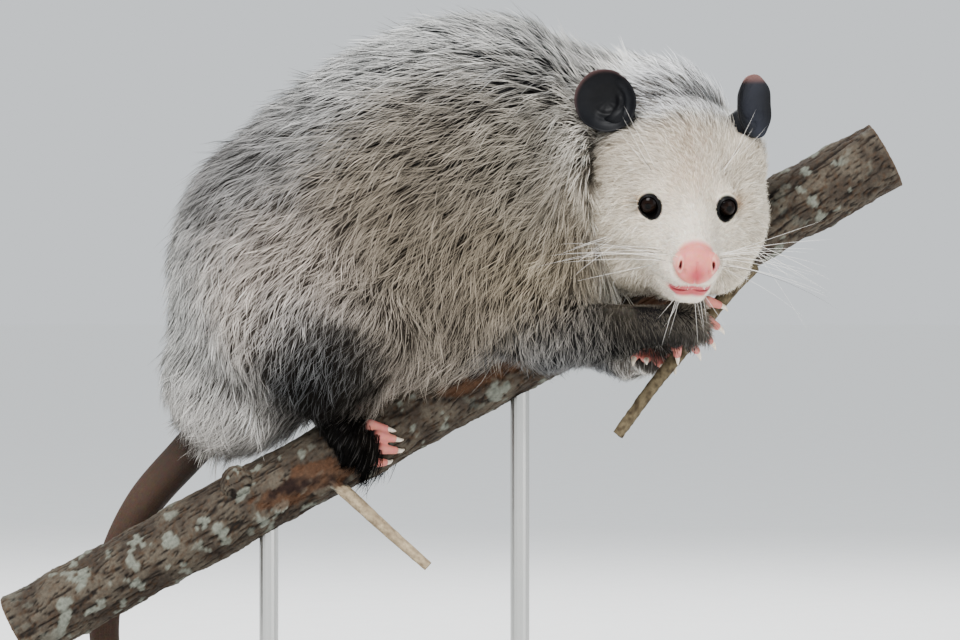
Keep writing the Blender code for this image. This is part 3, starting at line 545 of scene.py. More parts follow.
def head_shapes(share):
    made = []
    for name, (centre, radii, coat) in HEAD_MASSES.items():
        for side in (1, -1) if name in HEAD_PAIRS else (1,):
            made.append(ball(on_head(centre, side), [(r + coat * share) * MM for r in radii], HEAD_TURN))
    for name, (start, first, end, last, coat, thin) in HEAD_TAPERS.items():
        for side in (1, -1) if name in TAPER_PAIRS else (1,):
            radii = ((first + coat * share) * MM, (last + thin * share) * MM)
            made += taper(on_head(start, side), radii[0], on_head(end, side), radii[1])
    return made


def foot_points(points, far):
    shift = LEFT_FOOT_SHIFT if far else 0
    return [on_branch(x + shift, 180 - angle if far else angle, height) for x, angle, height in points]


def paw_plans():
    """Each paw's palm and digits, as points of the model."""
    plans = {}
    for name, palm, digits in (
        ("hand_right", HAND_RIGHT_PALM, HAND_RIGHT_DIGITS),
        ("hand_left", HAND_LEFT_PALM, HAND_LEFT_DIGITS),
    ):
        start, first, end, last = palm
        body = (mm(start), first * MM, mm(end), last * MM)
        plans[name] = (body, [[mm(p) for p in points] for points in digits])
    for name, far in (("foot_right", False), ("foot_left", True)):
        heel, sole = foot_points((FOOT_HEEL[0], FOOT_BALL[0]), far)
        body = (heel, FOOT_HEEL[1] * MM, sole, FOOT_BALL[1] * MM)
        plans[name] = (body, [foot_points(points, far) for points in (*FOOT_TOES, FOOT_THUMB)])
    return plans


PAWS = paw_plans()


def paw_shape(name):
    body, digits = PAWS[name]
    parts = taper(*body)
    for points in digits:
        for index in range(len(points) - 1):
            radii = [DIGIT_RADII[index] * MM, DIGIT_RADII[index + 1] * MM]
            parts += taper(points[index], radii[0], points[index + 1], radii[1])
        parts.append(ball(points[-1], (2.1 * MM,) * 3))
    made = joined(name + "_skin", parts)
    return fused(made, (0.75) * MM, 4)


def tail_path():
    return smooth_path(TAIL_PATH, 26)


def mouth_points(surface, outward):
    points = [on_head(p, 1) for p in MOUTH] + [on_head(p, -1) for p in reversed(MOUTH[:-1])]
    line = []
    for point in points:
        near, normal, _, _ = surface.find_nearest(point)
        line.append(near + normal * outward * MM)
    return line


def head_skin():
    """The head with nose, lips and lids, before it is fused with the trunk."""
    voxel = 0.8 * MM
    head = fused(joined("head_skin", head_shapes(HEAD_SHARE)), 1.5 * MM, 16)
    surface = surface_of(head)
    lips = mouth_points(surface, -0.8)
    parts = [head]
    thin = (0, len(lips) - 1)
    smooth = [(tuple(p / MM), LIP_RADIUS - (0.9 if i in thin else 0)) for i, p in enumerate(lips)]
    parts.append(tube("lips", smooth_path(smooth, 6), 12))
    parts.append(ball(on_head(NOSE[0]), [r * MM for r in NOSE[1]], HEAD_TURN))
    for side in (1, -1):
        place, radii = NOSE_WING
        parts.append(ball(on_head(place, side), [r * MM for r in radii], HEAD_TURN))
        parts.append(ball(on_head(EYE_PLACE, side), ((EYE_RADIUS + LID) * MM,) * 3))
    head = fused(joined("head_skin", parts), voxel, 5)
    return head


def refined(obj, centre, radii):
    """Divides the faces within an ellipsoid of the head's frame, and rounds them."""
    bm = bmesh.new()
    bm.from_mesh(obj.data)
    near = (in_head(np.array([tuple(v.co) for v in bm.verts])) - centre) / radii
    inside = (near**2).sum(axis=1) < 1
    edges = [e for e in bm.edges if inside[e.verts[0].index] and inside[e.verts[1].index]]
    bmesh.ops.subdivide_edges(bm, edges=edges, cuts=1, use_grid_fill=True, smooth=0.6)
    bm.to_mesh(obj.data)
    bm.free()


def carve_face(head):
    """Mouth line, nostrils, nose groove and eye openings."""
    refined(head, (0, -44, -21), (17, 22, 17))
    mesh = head.data
    surface = surface_of(head)
    line = smooth_path([(tuple(p / MM), 1) for p in mouth_points(surface, 0)], 10)
    points = coordinates(mesh).astype(float)
    normals = normals_of(mesh).astype(float)
    near = in_head(points)
    front = near[:, 1] < 0
    path = in_head(np.array([tuple(p) for p, _ in line]))
    away = np.full(len(points), 1e9)
    chosen = np.where(front)[0]
    gaps = np.linalg.norm(near[chosen][:, None] - path[None], axis=2)
    away[chosen] = gaps.min(axis=1)
    depth = 1.1 * np.exp(-((away / 0.55) ** 2))
    for side in (1, -1):
        centre = np.array((NOSTRIL[0] * side, NOSTRIL[1], NOSTRIL[2]))
        rel = near - centre
        aside = (rel[:, 0] + 0.25 * side * rel[:, 2]) / 0.6
        slit = np.sqrt(aside**2 + (rel[:, 1] / 4) ** 2 + (rel[:, 2] / 2.4) ** 2)
        depth += 2.4 * np.exp(-(slit**3)) * front
        depth -= 0.35 * np.exp(-(((slit - 2.0) / 0.5) ** 2)) * front
        tail_end = near - np.array((6.2 * side, -53.5, -18.2))
        low = np.sqrt((tail_end[:, 0] / 0.9) ** 2 + (tail_end[:, 1] / 3) ** 2 + (tail_end[:, 2] / 1.9) ** 2)
        depth += 1.2 * np.exp(-(low**2)) * front
    groove = np.exp(-((near[:, 0] / 0.7) ** 2)) * (near[:, 1] < -46) * (near[:, 2] < -12) * (near[:, 2] > -27)
    depth += 0.7 * groove
    points -= normals * depth[:, None] * MM
    place_vertices(mesh, points)
    cuts = []
    for side in (1, -1):
        cuts.append(ball(on_head(EYE_PLACE, side), ((EYE_RADIUS + 0.12) * MM,) * 3, detail=5))
        ahead = (EYE_PLACE[0] + LOOK[0], EYE_PLACE[1] + LOOK[1], EYE_PLACE[2])
        cuts.append(ball(on_head(ahead, side), [r * MM for r in LID_OPENING], HEAD_TURN, detail=5))
    for cut in cuts:
        joined(cut.name, [cut])
    combined(head, cuts, "DIFFERENCE")
    return head


def body_skin():
    trunk = fused(joined("trunk", trunk_shapes(TRUNK_SHARE)), 3 * MM, 24)
    parts = [trunk, *limb_shapes(TRUNK_SHARE)]
    return fused(joined("body_skin", parts), 3 * MM, 6)


def tail_skin():
    path = tail_path()
    first = path[0][0] - (path[1][0] - path[0][0]) * 12
    last = path[-1][0] + (path[-1][0] - path[-2][0])
    return tube("tail_skin", [(first, path[0][1]), *path, (last, 0.6 * MM)], 40)


def lightened(skin):
    """The skin with fewer faces away from the face and the digits."""
    points = coordinates(skin.data).astype(float)
    near = in_head(points)
    face = falloff(near[:, 1], -6, 10) * falloff(np.linalg.norm(near, axis=1), 62, 74)
    digits, _ = digit_distance(points)
    plain = 1 - np.maximum(face, falloff(digits, 6, 9))
    group = skin.vertex_groups.new(name="plain")
    for weight in (0.25, 0.5, 0.75, 1.0):
        group.add([int(i) for i in np.where(plain >= weight)[0]], weight, "REPLACE")
    triangles = sum(len(face.vertices) - 2 for face in skin.data.polygons)
    ratio = min(1, SKIN_TRIANGLES / triangles)
    changed(skin, "DECIMATE", ratio=ratio, vertex_group="plain", vertex_group_factor=20)


def whole_skin():
    head = carve_face(head_skin())
    body = body_skin()
    others = [head, tail_skin(), *(paw_shape(name) for name in PAWS)]
    skin = combined(body, others, "UNION")
    skin.name = skin.data.name = "skin"
    lightened(skin)
    skin.data.shade_smooth()
    return skin


def full_coat():
    """The coat's outer surface, to measure its depth."""
    trunk = fused(joined("trunk", trunk_shapes(COAT_SHARE)), 4 * MM, 14)
    parts = [trunk, *limb_shapes(COAT_SHARE), *head_shapes(COAT_SHARE)]
    return fused(joined("full_coat", parts), 2.5 * MM, 6)


# Colours by place.


def spread(markings):
    """Places, reaches and the rest of each marking, on both sides, as arrays in metres."""
    rows = []
    for (place, *rest), kind in markings:
        if kind == "body":
            sides = [place, (place[0], 10 - place[1], place[2])]
            found = [(mm(p), rest, side) for p, side in zip(sides, (1, -1))]
        else:
            found = [(on_head(place, side), rest, side) for side in ((1, -1) if place[0] else (1,))]
        rows += [(point, values, side, kind) for point, values, side in found]
    return rows


def closeness(points, places, reaches):
    """How much each place counts at each point, summing to one."""
    away = ((points[:, None] - places[None]) ** 2).sum(axis=2)
    power = -away / (2 * reaches[None] ** 2)
    power -= power.max(axis=1)[:, None]
    weights = np.exp(power)
    return weights / weights.sum(axis=1)[:, None]


LIE_ROWS = spread([(row, "body") for row in BODY_LIE] + [(row, "head") for row in HEAD_LIE])
LIE_PLACES = np.array([tuple(row[0]) for row in LIE_ROWS])
LIE_REACHES = np.array([row[1][1] for row in LIE_ROWS]) * MM


def lie_ways():
    ways = []
    for _, (way, _), side, kind in LIE_ROWS:
        if kind == "body":
            ways.append((way[0], way[1] * side, way[2]))
        else:
            ways.append(tuple(HEAD.to_3x3() @ Vector((way[0] * side, way[1], way[2]))))
    ways = np.array(ways)
    return ways / np.linalg.norm(ways, axis=1)[:, None]


LIE_WAYS = lie_ways()


def lie_at(points, normals):
    """The way the hair points at each point, along the surface."""
    total = closeness(points, LIE_PLACES, LIE_REACHES) @ LIE_WAYS
    total -= normals * (total * normals).sum(axis=1)[:, None]
    return total / np.maximum(np.linalg.norm(total, axis=1), 1e-9)[:, None]


MARK_ROWS = spread([(row, "body") for row in BODY_MARKINGS] + [(row, "head") for row in HEAD_MARKINGS])
MARK_PLACES = np.array([tuple(row[0]) for row in MARK_ROWS])
MARK_REACHES = np.array([row[1][0] for row in MARK_ROWS]) * MM
MARK_COLOURS = np.array([[linear(code) for code in row[1][1:4]] for row in MARK_ROWS])
MARK_SHARES = np.array([row[1][4] for row in MARK_ROWS])
MARK_TONES = np.array([row[1][5] for row in MARK_ROWS])[:, None]
MARK_COLOURS *= np.stack((MARK_TONES, MARK_TONES, MARK_TONES**GUARD_POWER), axis=1)


def coat_colours(points):
    """The underfur's root and tip, darkened away from the face by painted shade, and the guard hair's colour
    at each point, and the guard hairs' share.
    """
    weights = closeness(points, MARK_PLACES, MARK_REACHES)
    colours = np.einsum("pm,mkc->pkc", weights, MARK_COLOURS)
    grey = colours.mean(axis=2, keepdims=True)
    colours = grey + (colours - grey) * RICHNESS
    face = face_share(points)[:, None, None]
    # Painted shade: the underfur away from the face is darkened.
    colours[:, :2] *= UNDERFUR_PAINTED_SHADE + (1 - UNDERFUR_PAINTED_SHADE) * face
    colours *= 1 - face * (1 - np.array(FACE_WARMTH))
    return np.clip(colours, 0.001, 0.95), weights @ MARK_SHARES * GUARD_RARITY


def toward(colours, code, share):
    """The colours moved towards another by a share for each."""
    share = np.clip(share, 0, 1)[:, None]
    return colours * (1 - share) + np.array(linear(code)) * share


def falloff(distance, inner, outer):
    """One within the inner distance, none beyond the outer one, and smooth between."""
    t = np.clip((outer - distance) / (outer - inner), 0, 1)
    return t * t * (3 - 2 * t)


def path_distance(points, path):
    """Distance in millimetres to a line of points in metres, and how far along it is, from 0 to 1."""
    best = np.full(len(points), 1e9)
    where = np.zeros(len(points))
    count = len(path) - 1
    for i in range(count):
        start, step = path[i], path[i + 1] - path[i]
        t = np.clip((points - start) @ step / max(step @ step, 1e-12), 0, 1)
        away = np.linalg.norm(points - start - t[:, None] * step, axis=1)
        closer = away < best
        best[closer] = away[closer]
        where[closer] = (i + t[closer]) / count
    return best / MM, where


def digit_distance(points):
    """Distance to the nearest digit's middle line and the place along it."""
    best = np.full(len(points), 1e9)
    where = np.zeros(len(points))
    for _, digits in PAWS.values():
        for line in digits:
            away, along = path_distance(points, np.array([tuple(p) for p in line]))
            closer = away < best
            best[closer] = away[closer]
            where[closer] = along[closer]
    return best, where


def paw_distance(points):
    best = np.full(len(points), 1e9)
    for body, _ in PAWS.values():
        away, _ = path_distance(points, np.array([tuple(body[0]), tuple(body[2])]))
        best = np.minimum(best, away)
    return best


TAIL_LINE = np.array([tuple(p) for p, _ in smooth_path(TAIL_PATH, 4)])
# Seen from the front: the lips' colour follows the mouth line wherever the surface lies.
FRONTAL = np.array((1, 0.25, 1))
MOUTH_LINE = np.array(
    [tuple(on_head(p, 1)) for p in MOUTH] + [tuple(on_head(p, -1)) for p in reversed(MOUTH[:-1])]
)


def eye_axis(side):
    """The way an eye looks, in the head's frame."""
    return np.array((LOOK[0] * side, LOOK[1], 0)) / math.hypot(*LOOK)


def bare_parts(points):
    """How much each point belongs to the nose, lips, lid rims, digits and tail, from 0 to 1."""
    near = in_head(points)
    nose = np.linalg.norm((near - (0, -49, -15)) / (1.15, 1.0, 1.15), axis=1)
    parts = {"nose": falloff(nose, 8.5, 13.0) * (near[:, 1] < -38)}
    lips, _ = path_distance(near * FRONTAL * MM, in_head(MOUTH_LINE) * FRONTAL * MM)
    front = falloff(near[:, 1], -38, -30)
    parts["lips"] = falloff(lips, 0.6 + 1.6 * front, 1.8 + 3.0 * front) * (near[:, 1] < -4)
    parts["mouth"] = falloff(lips, 0.25, 0.9) * (near[:, 1] < -10)
    rims = np.full(len(points), 1e9)
    for side in (1, -1):
        centre = np.array((EYE_PLACE[0] * side, EYE_PLACE[1], EYE_PLACE[2]))
        axis = eye_axis(side)
        rel = near - centre
        along = rel @ axis
        out = np.linalg.norm(rel - along[:, None] * axis, axis=1)
        rims = np.minimum(rims, np.where(along > -1, out, 1e9))
    parts["rims"] = falloff(rims, 6.0, 7.0)
    digits, along = digit_distance(points)
    parts["digits"] = falloff(digits, 4.6, 6.0) * np.clip((along - 0.32) * 5, 0, 1)
    palms = paw_distance(points)
    parts["paws"] = falloff(palms, 12, 17)
    tail, where = path_distance(points, TAIL_LINE)
    parts["tail"] = falloff(tail, 13.5, 16.5) * np.clip(where * 12 - 0.6, 0, 1)
    parts["tail_along"] = where
    return parts


def face_share(points):
    """One on the face, where the coat is short and fine, and none behind the cheeks."""
    near = in_head(points)
    back = near[:, 1] + 0.3 * np.abs(near[:, 2])
    return falloff(back, 28, 46) * falloff(np.linalg.norm(near, axis=1), 62, 74)


def skin_colours(points):
    colours, _ = coat_colours(points)
    # Painted shade: under the coat the skin is about half as bright as the roots, so the gaps between strands
    # look deep.
    skin = colours[:, 0] * 0.55
    parts = bare_parts(points)
    near = in_head(points)
    face = face_share(points)[:, None]
    skin = skin * (1 - face) + (colours[:, 1] * 0.9) * face
    skin = toward(skin, "#0c0a0b", parts["paws"])
    skin = toward(skin, "#c4776c", parts["digits"])
    skin = toward(skin, "#cf7a70", parts["nose"])
    middle = falloff(np.linalg.norm((near - (0, -54, -19)) / (5.5, 8, 7), axis=1), 0.2, 1.1)
    skin = toward(skin, "#ab3b48", middle * parts["nose"] * 0.8)
    for side in (1, -1):
        rel = near - (NOSTRIL[0] * side, NOSTRIL[1], NOSTRIL[2])
        slit = np.linalg.norm(rel / (0.8, 5, 2.5), axis=1)
        skin = toward(skin, "#e0a79a", falloff(np.abs(slit - 1.5), 0.1, 0.6) * parts["nose"] * 0.7)
        # Painted shade: the nostril slits are painted dark red-brown inside the openings.
        skin = toward(skin, "#4a1514", falloff(slit, 0.6, 1.15) * parts["nose"])
    skin = toward(skin, "#b85a5c", parts["lips"])
    # Painted shade: the mouth line is painted dark red along the crease between the lips.
    skin = toward(skin, "#7a2a30", parts["mouth"])
    skin = toward(skin, "#040303", parts["rims"])
    where = parts["tail_along"]
    skin = toward(skin, "#1d1714", parts["tail"])
    skin = toward(skin, "#3f3027", parts["tail"] * np.clip((where - 0.12) * 7, 0, 1))
    return skin, parts


# The coat.


class Scalp:
    """A light copy of the skin that roots the coat: its triangles, unwrap and guide strands."""

    def __init__(self, skin, coat):
        copy = skin.copy()
        copy.data = skin.data.copy()
        bpy.context.scene.collection.objects.link(copy)
        faces = 24000
        ratio = min(1, faces / (2 * len(copy.data.polygons)))
        changed(copy, "DECIMATE", ratio=ratio, use_collapse_triangulate=True)
        only(copy)
        bpy.ops.object.mode_set(mode="EDIT")
        bpy.ops.mesh.select_all(action="SELECT")
        bpy.ops.mesh.quads_convert_to_tris()
        bpy.ops.uv.smart_project(angle_limit=math.radians(66), island_margin=0.004)
        bpy.ops.object.mode_set(mode="OBJECT")
        mesh = copy.data
        self.points = coordinates(mesh).astype(float)
        self.normals = normals_of(mesh).astype(float)
        self.corners = np.array([tuple(p.vertices) for p in mesh.polygons])
        uv = np.empty(len(mesh.loops) * 2, np.float32)
        mesh.uv_layers.active.data.foreach_get("uv", uv)
        self.uv = uv.reshape(-1, 3, 2)
        a, b, c = (self.points[self.corners[:, i]] for i in range(3))
        cross = np.cross(b - a, c - a)
        self.areas = np.linalg.norm(cross, axis=1) / 2 / MM**2
        edges = np.empty(len(mesh.edges) * 2, np.int32)
        mesh.edges.foreach_get("vertices", edges)
        self.edges = edges.reshape(-1, 2)
        self.measure(coat)
        self.grow_guides(surface_of(copy))
        bpy.data.objects.remove(copy)

    def smoothed(self, values, rounds):
        """The values averaged with those of neighbouring vertices."""
        first, second = self.edges.T
        count = np.zeros(len(self.points))
        np.add.at(count, first, 1)
        np.add.at(count, second, 1)
        shape = (-1,) + (1,) * (values.ndim - 1)
        for _ in range(rounds):
            total = np.zeros_like(values)
            np.add.at(total, first, values[second])
            np.add.at(total, second, values[first])
            values = values * 0.5 + 0.5 * total / np.maximum(count, 1).reshape(shape)
        return values

    def measure(self, coat):
        """The coat's depth at each vertex, in millimetres."""
        depth = np.empty(len(self.points))
        for i, (point, normal) in enumerate(zip(self.points, self.normals)):
            hit = coat.ray_cast(Vector(point), Vector(normal), 0.03)
            depth[i] = hit[3] if hit[0] is not None else coat.find_nearest(Vector(point))[3]
        depth = np.clip(depth / MM, 0.6, 20)
        self.depth = self.smoothed(depth, 4)

    def grow_guides(self, surface):
        """One guide strand a vertex: offsets from its root at even steps."""
        steps = 6
        face = face_share(self.points)
        self.depth = self.depth * (1 - 0.35 * face)
        length = np.clip(self.depth * 2.3, 4.2, 34 - 21 * face) * MM
        points, normals = self.points.copy(), self.smoothed(self.normals, 3)
        normals /= np.linalg.norm(normals, axis=1)[:, None]
        stations = []
        for k in range(steps + 1):
            t = k / steps
            height = self.depth * MM * (1 - (1 - t) ** 1.5)
            stations.append(points + normals * height[:, None])
            ahead = points + lie_at(points, normals) * (length / steps)[:, None]
            for i in range(len(points)):
                near, normal, _, _ = surface.find_nearest(Vector(ahead[i]))
                points[i] = near
                normals[i] = normals[i] * 0.5 + np.array(normal) * 0.5
            normals /= np.linalg.norm(normals, axis=1)[:, None]
        guides = np.stack(stations, axis=1) - self.points[:, None]
        self.guides = self.smoothed(guides, 3)
        self.length = length


def strand_points(scalp, triangle, weights, t):
    """Offsets from the roots at the shares t of the strands, from the guides at the triangles' corners."""
    corners = scalp.corners[triangle]
    guides = (scalp.guides[corners] * weights[:, :, None, None]).sum(axis=1)
    steps = guides.shape[1] - 1
    low = np.clip((t * steps).astype(int), 0, steps - 1)
    share = (t * steps - low)[:, :, None]
    index = np.arange(len(triangle))[:, None]
    return guides[index, low] * (1 - share) + guides[index, low + 1] * share


def unit(values):
    return values / np.maximum(np.linalg.norm(values, axis=-1, keepdims=True), 1e-12)


def chosen_roots(scalp, density, draw):
    """Random triangles and places in them, by density a square millimetre for each triangle."""
    wanted = scalp.areas * density
    count = int(wanted.sum())
    triangle = np.sort(draw.choice(len(wanted), size=count, p=wanted / wanted.sum()))
    u, v = draw.random(count), draw.random(count)
    over = u + v > 1
    u[over], v[over] = 1 - u[over], 1 - v[over]
    return triangle, np.stack((1 - u - v, u, v), axis=1)


def nearest_index(points, places):
    tree = KDTree(len(places))
    for i, place in enumerate(places):
        tree.insert(place, i)
    tree.balance()
    return np.array([tree.find(point)[1] for point in points])


def grow_coat(scalp, materials):
    draw = np.random.default_rng(SEED)
    centres = scalp.points[scalp.corners].mean(axis=1)
    parts = bare_parts(centres)
    bare = np.max([parts[name] for name in ("nose", "lips", "rims", "digits")], axis=0)
    tail = parts["tail"]
    haired = np.clip(1 - bare, 0, 1) * np.where(tail > 0.3, 0, 1)
    depth = scalp.depth[scalp.corners].mean(axis=1)
    face = face_share(centres)
    density = BODY_DENSITY + (LIMB_DENSITY - BODY_DENSITY) * falloff(depth, 5, 9)
    crown = falloff(np.linalg.norm(in_head(centres) - (0, 25, 0), axis=1), 60, 85)
    density = np.maximum(density, BODY_DENSITY + (3.2 - BODY_DENSITY) * crown)
    density = (density + (FACE_DENSITY - density) * face) * haired
    triangle, weights = chosen_roots(scalp, density, draw)
    corners = scalp.corners[triangle]
    roots = (scalp.points[corners] * weights[:, :, None]).sum(axis=1)
    normals = unit((scalp.normals[corners] * weights[:, :, None]).sum(axis=1))
    depths = (scalp.depth[corners] * weights).sum(axis=1)
    uv = (scalp.uv[triangle] * weights[:, :, None]).sum(axis=1)
    count = len(roots)

    # Each strand leans on the tip of its clump.
    clump_density = np.where(depth > 6, 0.10, 0.5) * haired
    clump_triangle, clump_weights = chosen_roots(scalp, clump_density, draw)
    clump_roots = (scalp.points[scalp.corners[clump_triangle]] * clump_weights[:, :, None]).sum(axis=1)
    clump = nearest_index(roots, clump_roots)
    clump_bend = draw.normal(0, 1, len(clump_roots))
    clump_lift = draw.normal(0, 1, len(clump_roots))
    clump_tone = draw.normal(0, 1, len(clump_roots))

    colours, shares = coat_colours(roots)
    guard = draw.random(count) < shares
    long = np.where(guard, draw.uniform(0.9, 1.15, count), draw.uniform(0.55, 0.95, count))
    turned = draw.normal(0, 0.14, count) + clump_bend[clump] * 0.18
    bend = draw.normal(0, 0.10, count) + clump_bend[clump] * 0.08
    lift = draw.normal(0, 0.07, count) + clump_lift[clump] * 0.08 + np.where(guard, 0.03, -0.08)
    fine = face_share(roots)
    long *= (1 - 0.6 * bare_parts(roots)["paws"]) * (1 + 1.8 * fine * (1 - fine))
    wild = draw.random(count) < 0.012
    lift = np.where(wild, lift + draw.uniform(0.05, 0.3, count), lift) + 0.4 * fine * (1 - fine)
    bend = np.where(wild, bend * 2.0, bend)
    gather = np.where(wild, 0.0, draw.uniform(0.3, 0.8, count))
    roll = draw.uniform(-0.9, 0.9, count)
    coarse = 1 - fine * 0.7
    tone = np.exp(draw.normal(0, 0.18, count) + clump_tone[clump] * 0.20 * coarse)
    seeds = np.array([mm(place) for place in COAT_PIECES.values()])
    piece = ((roots[:, None] - seeds[None]) ** 2).sum(axis=2).argmin(axis=1)
    stations = np.where(guard & (depths > 4), 4, 3)

    for number, name in enumerate(COAT_PIECES):
        blocks = []
        for amount, shares_along in ((3, (0, 0.5, 1)), (4, (0, 0.35, 0.72, 1))):
            mine = np.where((piece == number) & (stations == amount))[0]
            if not len(mine):
                continue
            t = np.array(shares_along)[None] * np.minimum(long[mine], 1)[:, None]
            extra = np.maximum(long[mine], 1)[:, None, None]
            own = strand_points(scalp, triangle[mine], weights[mine], t) * extra
            centre = clump[mine]
            lead = strand_points(scalp, clump_triangle[centre], clump_weights[centre], t) * extra
            pull = (gather[mine][:, None] * t**1.6)[:, :, None]
            pull = pull * np.clip((depths[mine] - 0.5) / 6, 0.25, 1)[:, None, None]
            root = roots[mine][:, None]
            body = (root + own) * (1 - pull) + (clump_roots[centre][:, None] + lead) * pull
            along = unit(own[:, -1] - own[:, 0])
            up = normals[mine]
            side = unit(np.cross(along, up))
            reach = np.linalg.norm(own[:, -1], axis=1)
            body += (side * (bend[mine] * reach)[:, None])[:, None] * (t**2)[:, :, None]
            body += (side * (turned[mine] * reach)[:, None])[:, None] * t[:, :, None]
            body += (up * (lift[mine] * reach)[:, None])[:, None] * t[:, :, None] * 0.6
            body -= up[:, None] * 0.0006 * (1 - t)[:, :, None] ** 4
            free = clear_of_face(body)
            mine, body, t, up = mine[free], body[free], t[free], up[free]
            wide = np.where(depths[mine] < 5, FACE_WIDTH, BODY_WIDTH)
            wide = wide + (FACE_WIDTH - wide) * fine[mine]
            blocks.append(blade_block(body, t, up, roll[mine], mine, depths[mine], amount, wide))
        if blocks:
            data = (colours, guard, tone, uv)
            join_blades(name, blocks, data, materials["coat_hair"])


def clear_of_face(body):
    """Which strands stay out of the ears' cups and off the eyes."""
    free = np.ones(len(body), bool)
    near = in_head(body.reshape(-1, 3)).reshape(body.shape)
    for side in (1, -1):
        axis = eye_axis(side)
        rel = near - (EYE_PLACE[0] * side, EYE_PLACE[1], EYE_PLACE[2])
        along = rel @ axis
        out = np.linalg.norm(rel - along[..., None] * axis, axis=2)
        free &= ~((out < 5.9) & (along > 0)).any(axis=1)
    for name in EARS:
        middle, axes = ear_frame(name)
        rel = (body - np.array(middle)) / MM @ axes.T
        out = np.linalg.norm(rel[..., :2], axis=2)
        inside = (out < EAR_RADIUS - 0.5) & (rel[..., 2] > -EAR_DEPTH - 1) & (rel[..., 2] < 4)
        free &= ~inside.any(axis=1)
    return free


def blade_block(body, t, up, roll, mine, depths, amount, wide_mm):
    """Vertices of flat tapered blades: two at each station and one at the tip."""
    along = unit(np.gradient(body, axis=1))
    across = unit(np.cross(along, up[:, None]))
    out = np.cross(across, along)
    turn = roll[:, None, None]
    wide = across * np.cos(turn) + out * np.sin(turn)
    width = wide_mm[:, None] * MM
    share = t / t[:, -1:]
    profile = (0.75 + 0.25 * np.sin(share * math.pi)) * (1 - share**3 * 0.6)
    half = wide * (width * profile / 2)[:, :, None]
    left, right = body - half, body + half
    vertices = np.empty((len(mine), 2 * amount - 1, 3))
    vertices[:, 0:-1:2] = left[:, :-1]
    vertices[:, 1:-1:2] = right[:, :-1]
    vertices[:, -1] = body[:, -1]
    shares = np.empty((len(mine), 2 * amount - 1))
    shares[:, 0:-1:2] = share[:, :-1]
    shares[:, 1:-1:2] = share[:, :-1]
    shares[:, -1] = 1
    soft = unit(out[:, :, :] * 0.75 + up[:, None] * 0.6)
    normals = np.empty_like(vertices)
    normals[:, 0:-1:2] = soft[:, :-1] - wide[:, :-1] * 0.35
    normals[:, 1:-1:2] = soft[:, :-1] + wide[:, :-1] * 0.35
    normals[:, -1] = soft[:, -1]
    return vertices, shares, unit(normals), mine, amount, depths


def join_blades(name, blocks, data, material):
    colours, guard, tone, uv = data
    points, shades, normals, maps = [], [], [], []
    loops, starts, totals = [], [], []
    base = 0
    cursor = 0
    for vertices, shares, soft, mine, amount, depths in blocks:
        count, each = shares.shape
        first = base + np.arange(count)[:, None] * each
        quads = []
        for k in range(amount - 2):
            quads.append(first + np.array((2 * k, 2 * k + 1, 2 * k + 3, 2 * k + 2)))
        tip = first + np.array((2 * amount - 4, 2 * amount - 3, 2 * amount - 2))
        row = np.concatenate((*quads, tip), axis=1)
        sizes = np.array([4] * (amount - 2) + [3])
        loops.append(row.ravel())
        offsets = np.concatenate(((0,), np.cumsum(sizes)[:-1]))
        starts.append((cursor + np.arange(count)[:, None] * sizes.sum() + offsets).ravel())
        totals.append(np.tile(sizes, count))
        cursor += count * sizes.sum()
        base += count * each
        points.append(vertices.reshape(-1, 3))
        normals.append(soft.reshape(-1, 3))
        root, tip_colour, guard_colour = (colours[mine][:, i][:, None] for i in range(3))
        is_guard = guard[mine][:, None, None]
        s = shares[:, :, None]
        under = root + (tip_colour - root) * np.clip(s * 1.25, 0, 1)
        over = root * 0.9 + (guard_colour - root * 0.9) * np.clip(s * 1.7 - 0.1, 0, 1)
        shade = np.where(is_guard, over, under) * tone[mine][:, None, None]
        # Painted shade: in a deep coat each strand darkens towards its root, and the underfur darkens more
        # than the guard hairs.
        deep_coat_shade = np.clip(depths / 8, 0, 1)[:, None, None]
        shade = shade * (1 - 0.85 * deep_coat_shade * (1 - np.clip(s * 1.35, 0, 1)))
        shade = shade * (1 - deep_coat_shade * np.where(is_guard, 0.0, 0.45))
        shades.append(np.clip(shade, 0, 0.92).reshape(-1, 3))
        across = np.tile(np.array([-0.5, 0.5] * (amount - 1) + [0.0]), (count, 1))
        patch = np.stack((across * 0.003, (shares - 0.5) * 0.003), axis=2)
        maps.append((uv[mine][:, None] + patch).reshape(-1, 2))
    points, shades, normals, maps = (np.concatenate(rows) for rows in (points, shades, normals, maps))
    loops, starts, totals = (np.concatenate(rows) for rows in (loops, starts, totals))
    mesh = bpy.data.meshes.new(name)
    mesh.vertices.add(len(points))
    mesh.vertices.foreach_set("co", points.astype(np.float32).ravel())
    mesh.loops.add(len(loops))
    mesh.loops.foreach_set("vertex_index", loops.astype(np.int32))
    mesh.polygons.add(len(starts))
    mesh.polygons.foreach_set("loop_start", starts.astype(np.int32))
    mesh.update(calc_edges=True)
    mesh.shade_smooth()
    colour_attribute(mesh, "hair_colour", shades)
    layer = mesh.uv_layers.new(name="OFBake")
    layer.data.foreach_set("uv", maps[loops].astype(np.float32).ravel())
    mesh.normals_split_custom_set_from_vertices(normals.astype(np.float32))
    obj = bpy.data.objects.new(name, mesh)
    bpy.context.scene.collection.objects.link(obj)
    mesh.materials.append(material)
    triangles = int((totals - 2).sum())
    print("coat", name, triangles)
    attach(obj, "root")
    return obj


# Materials.


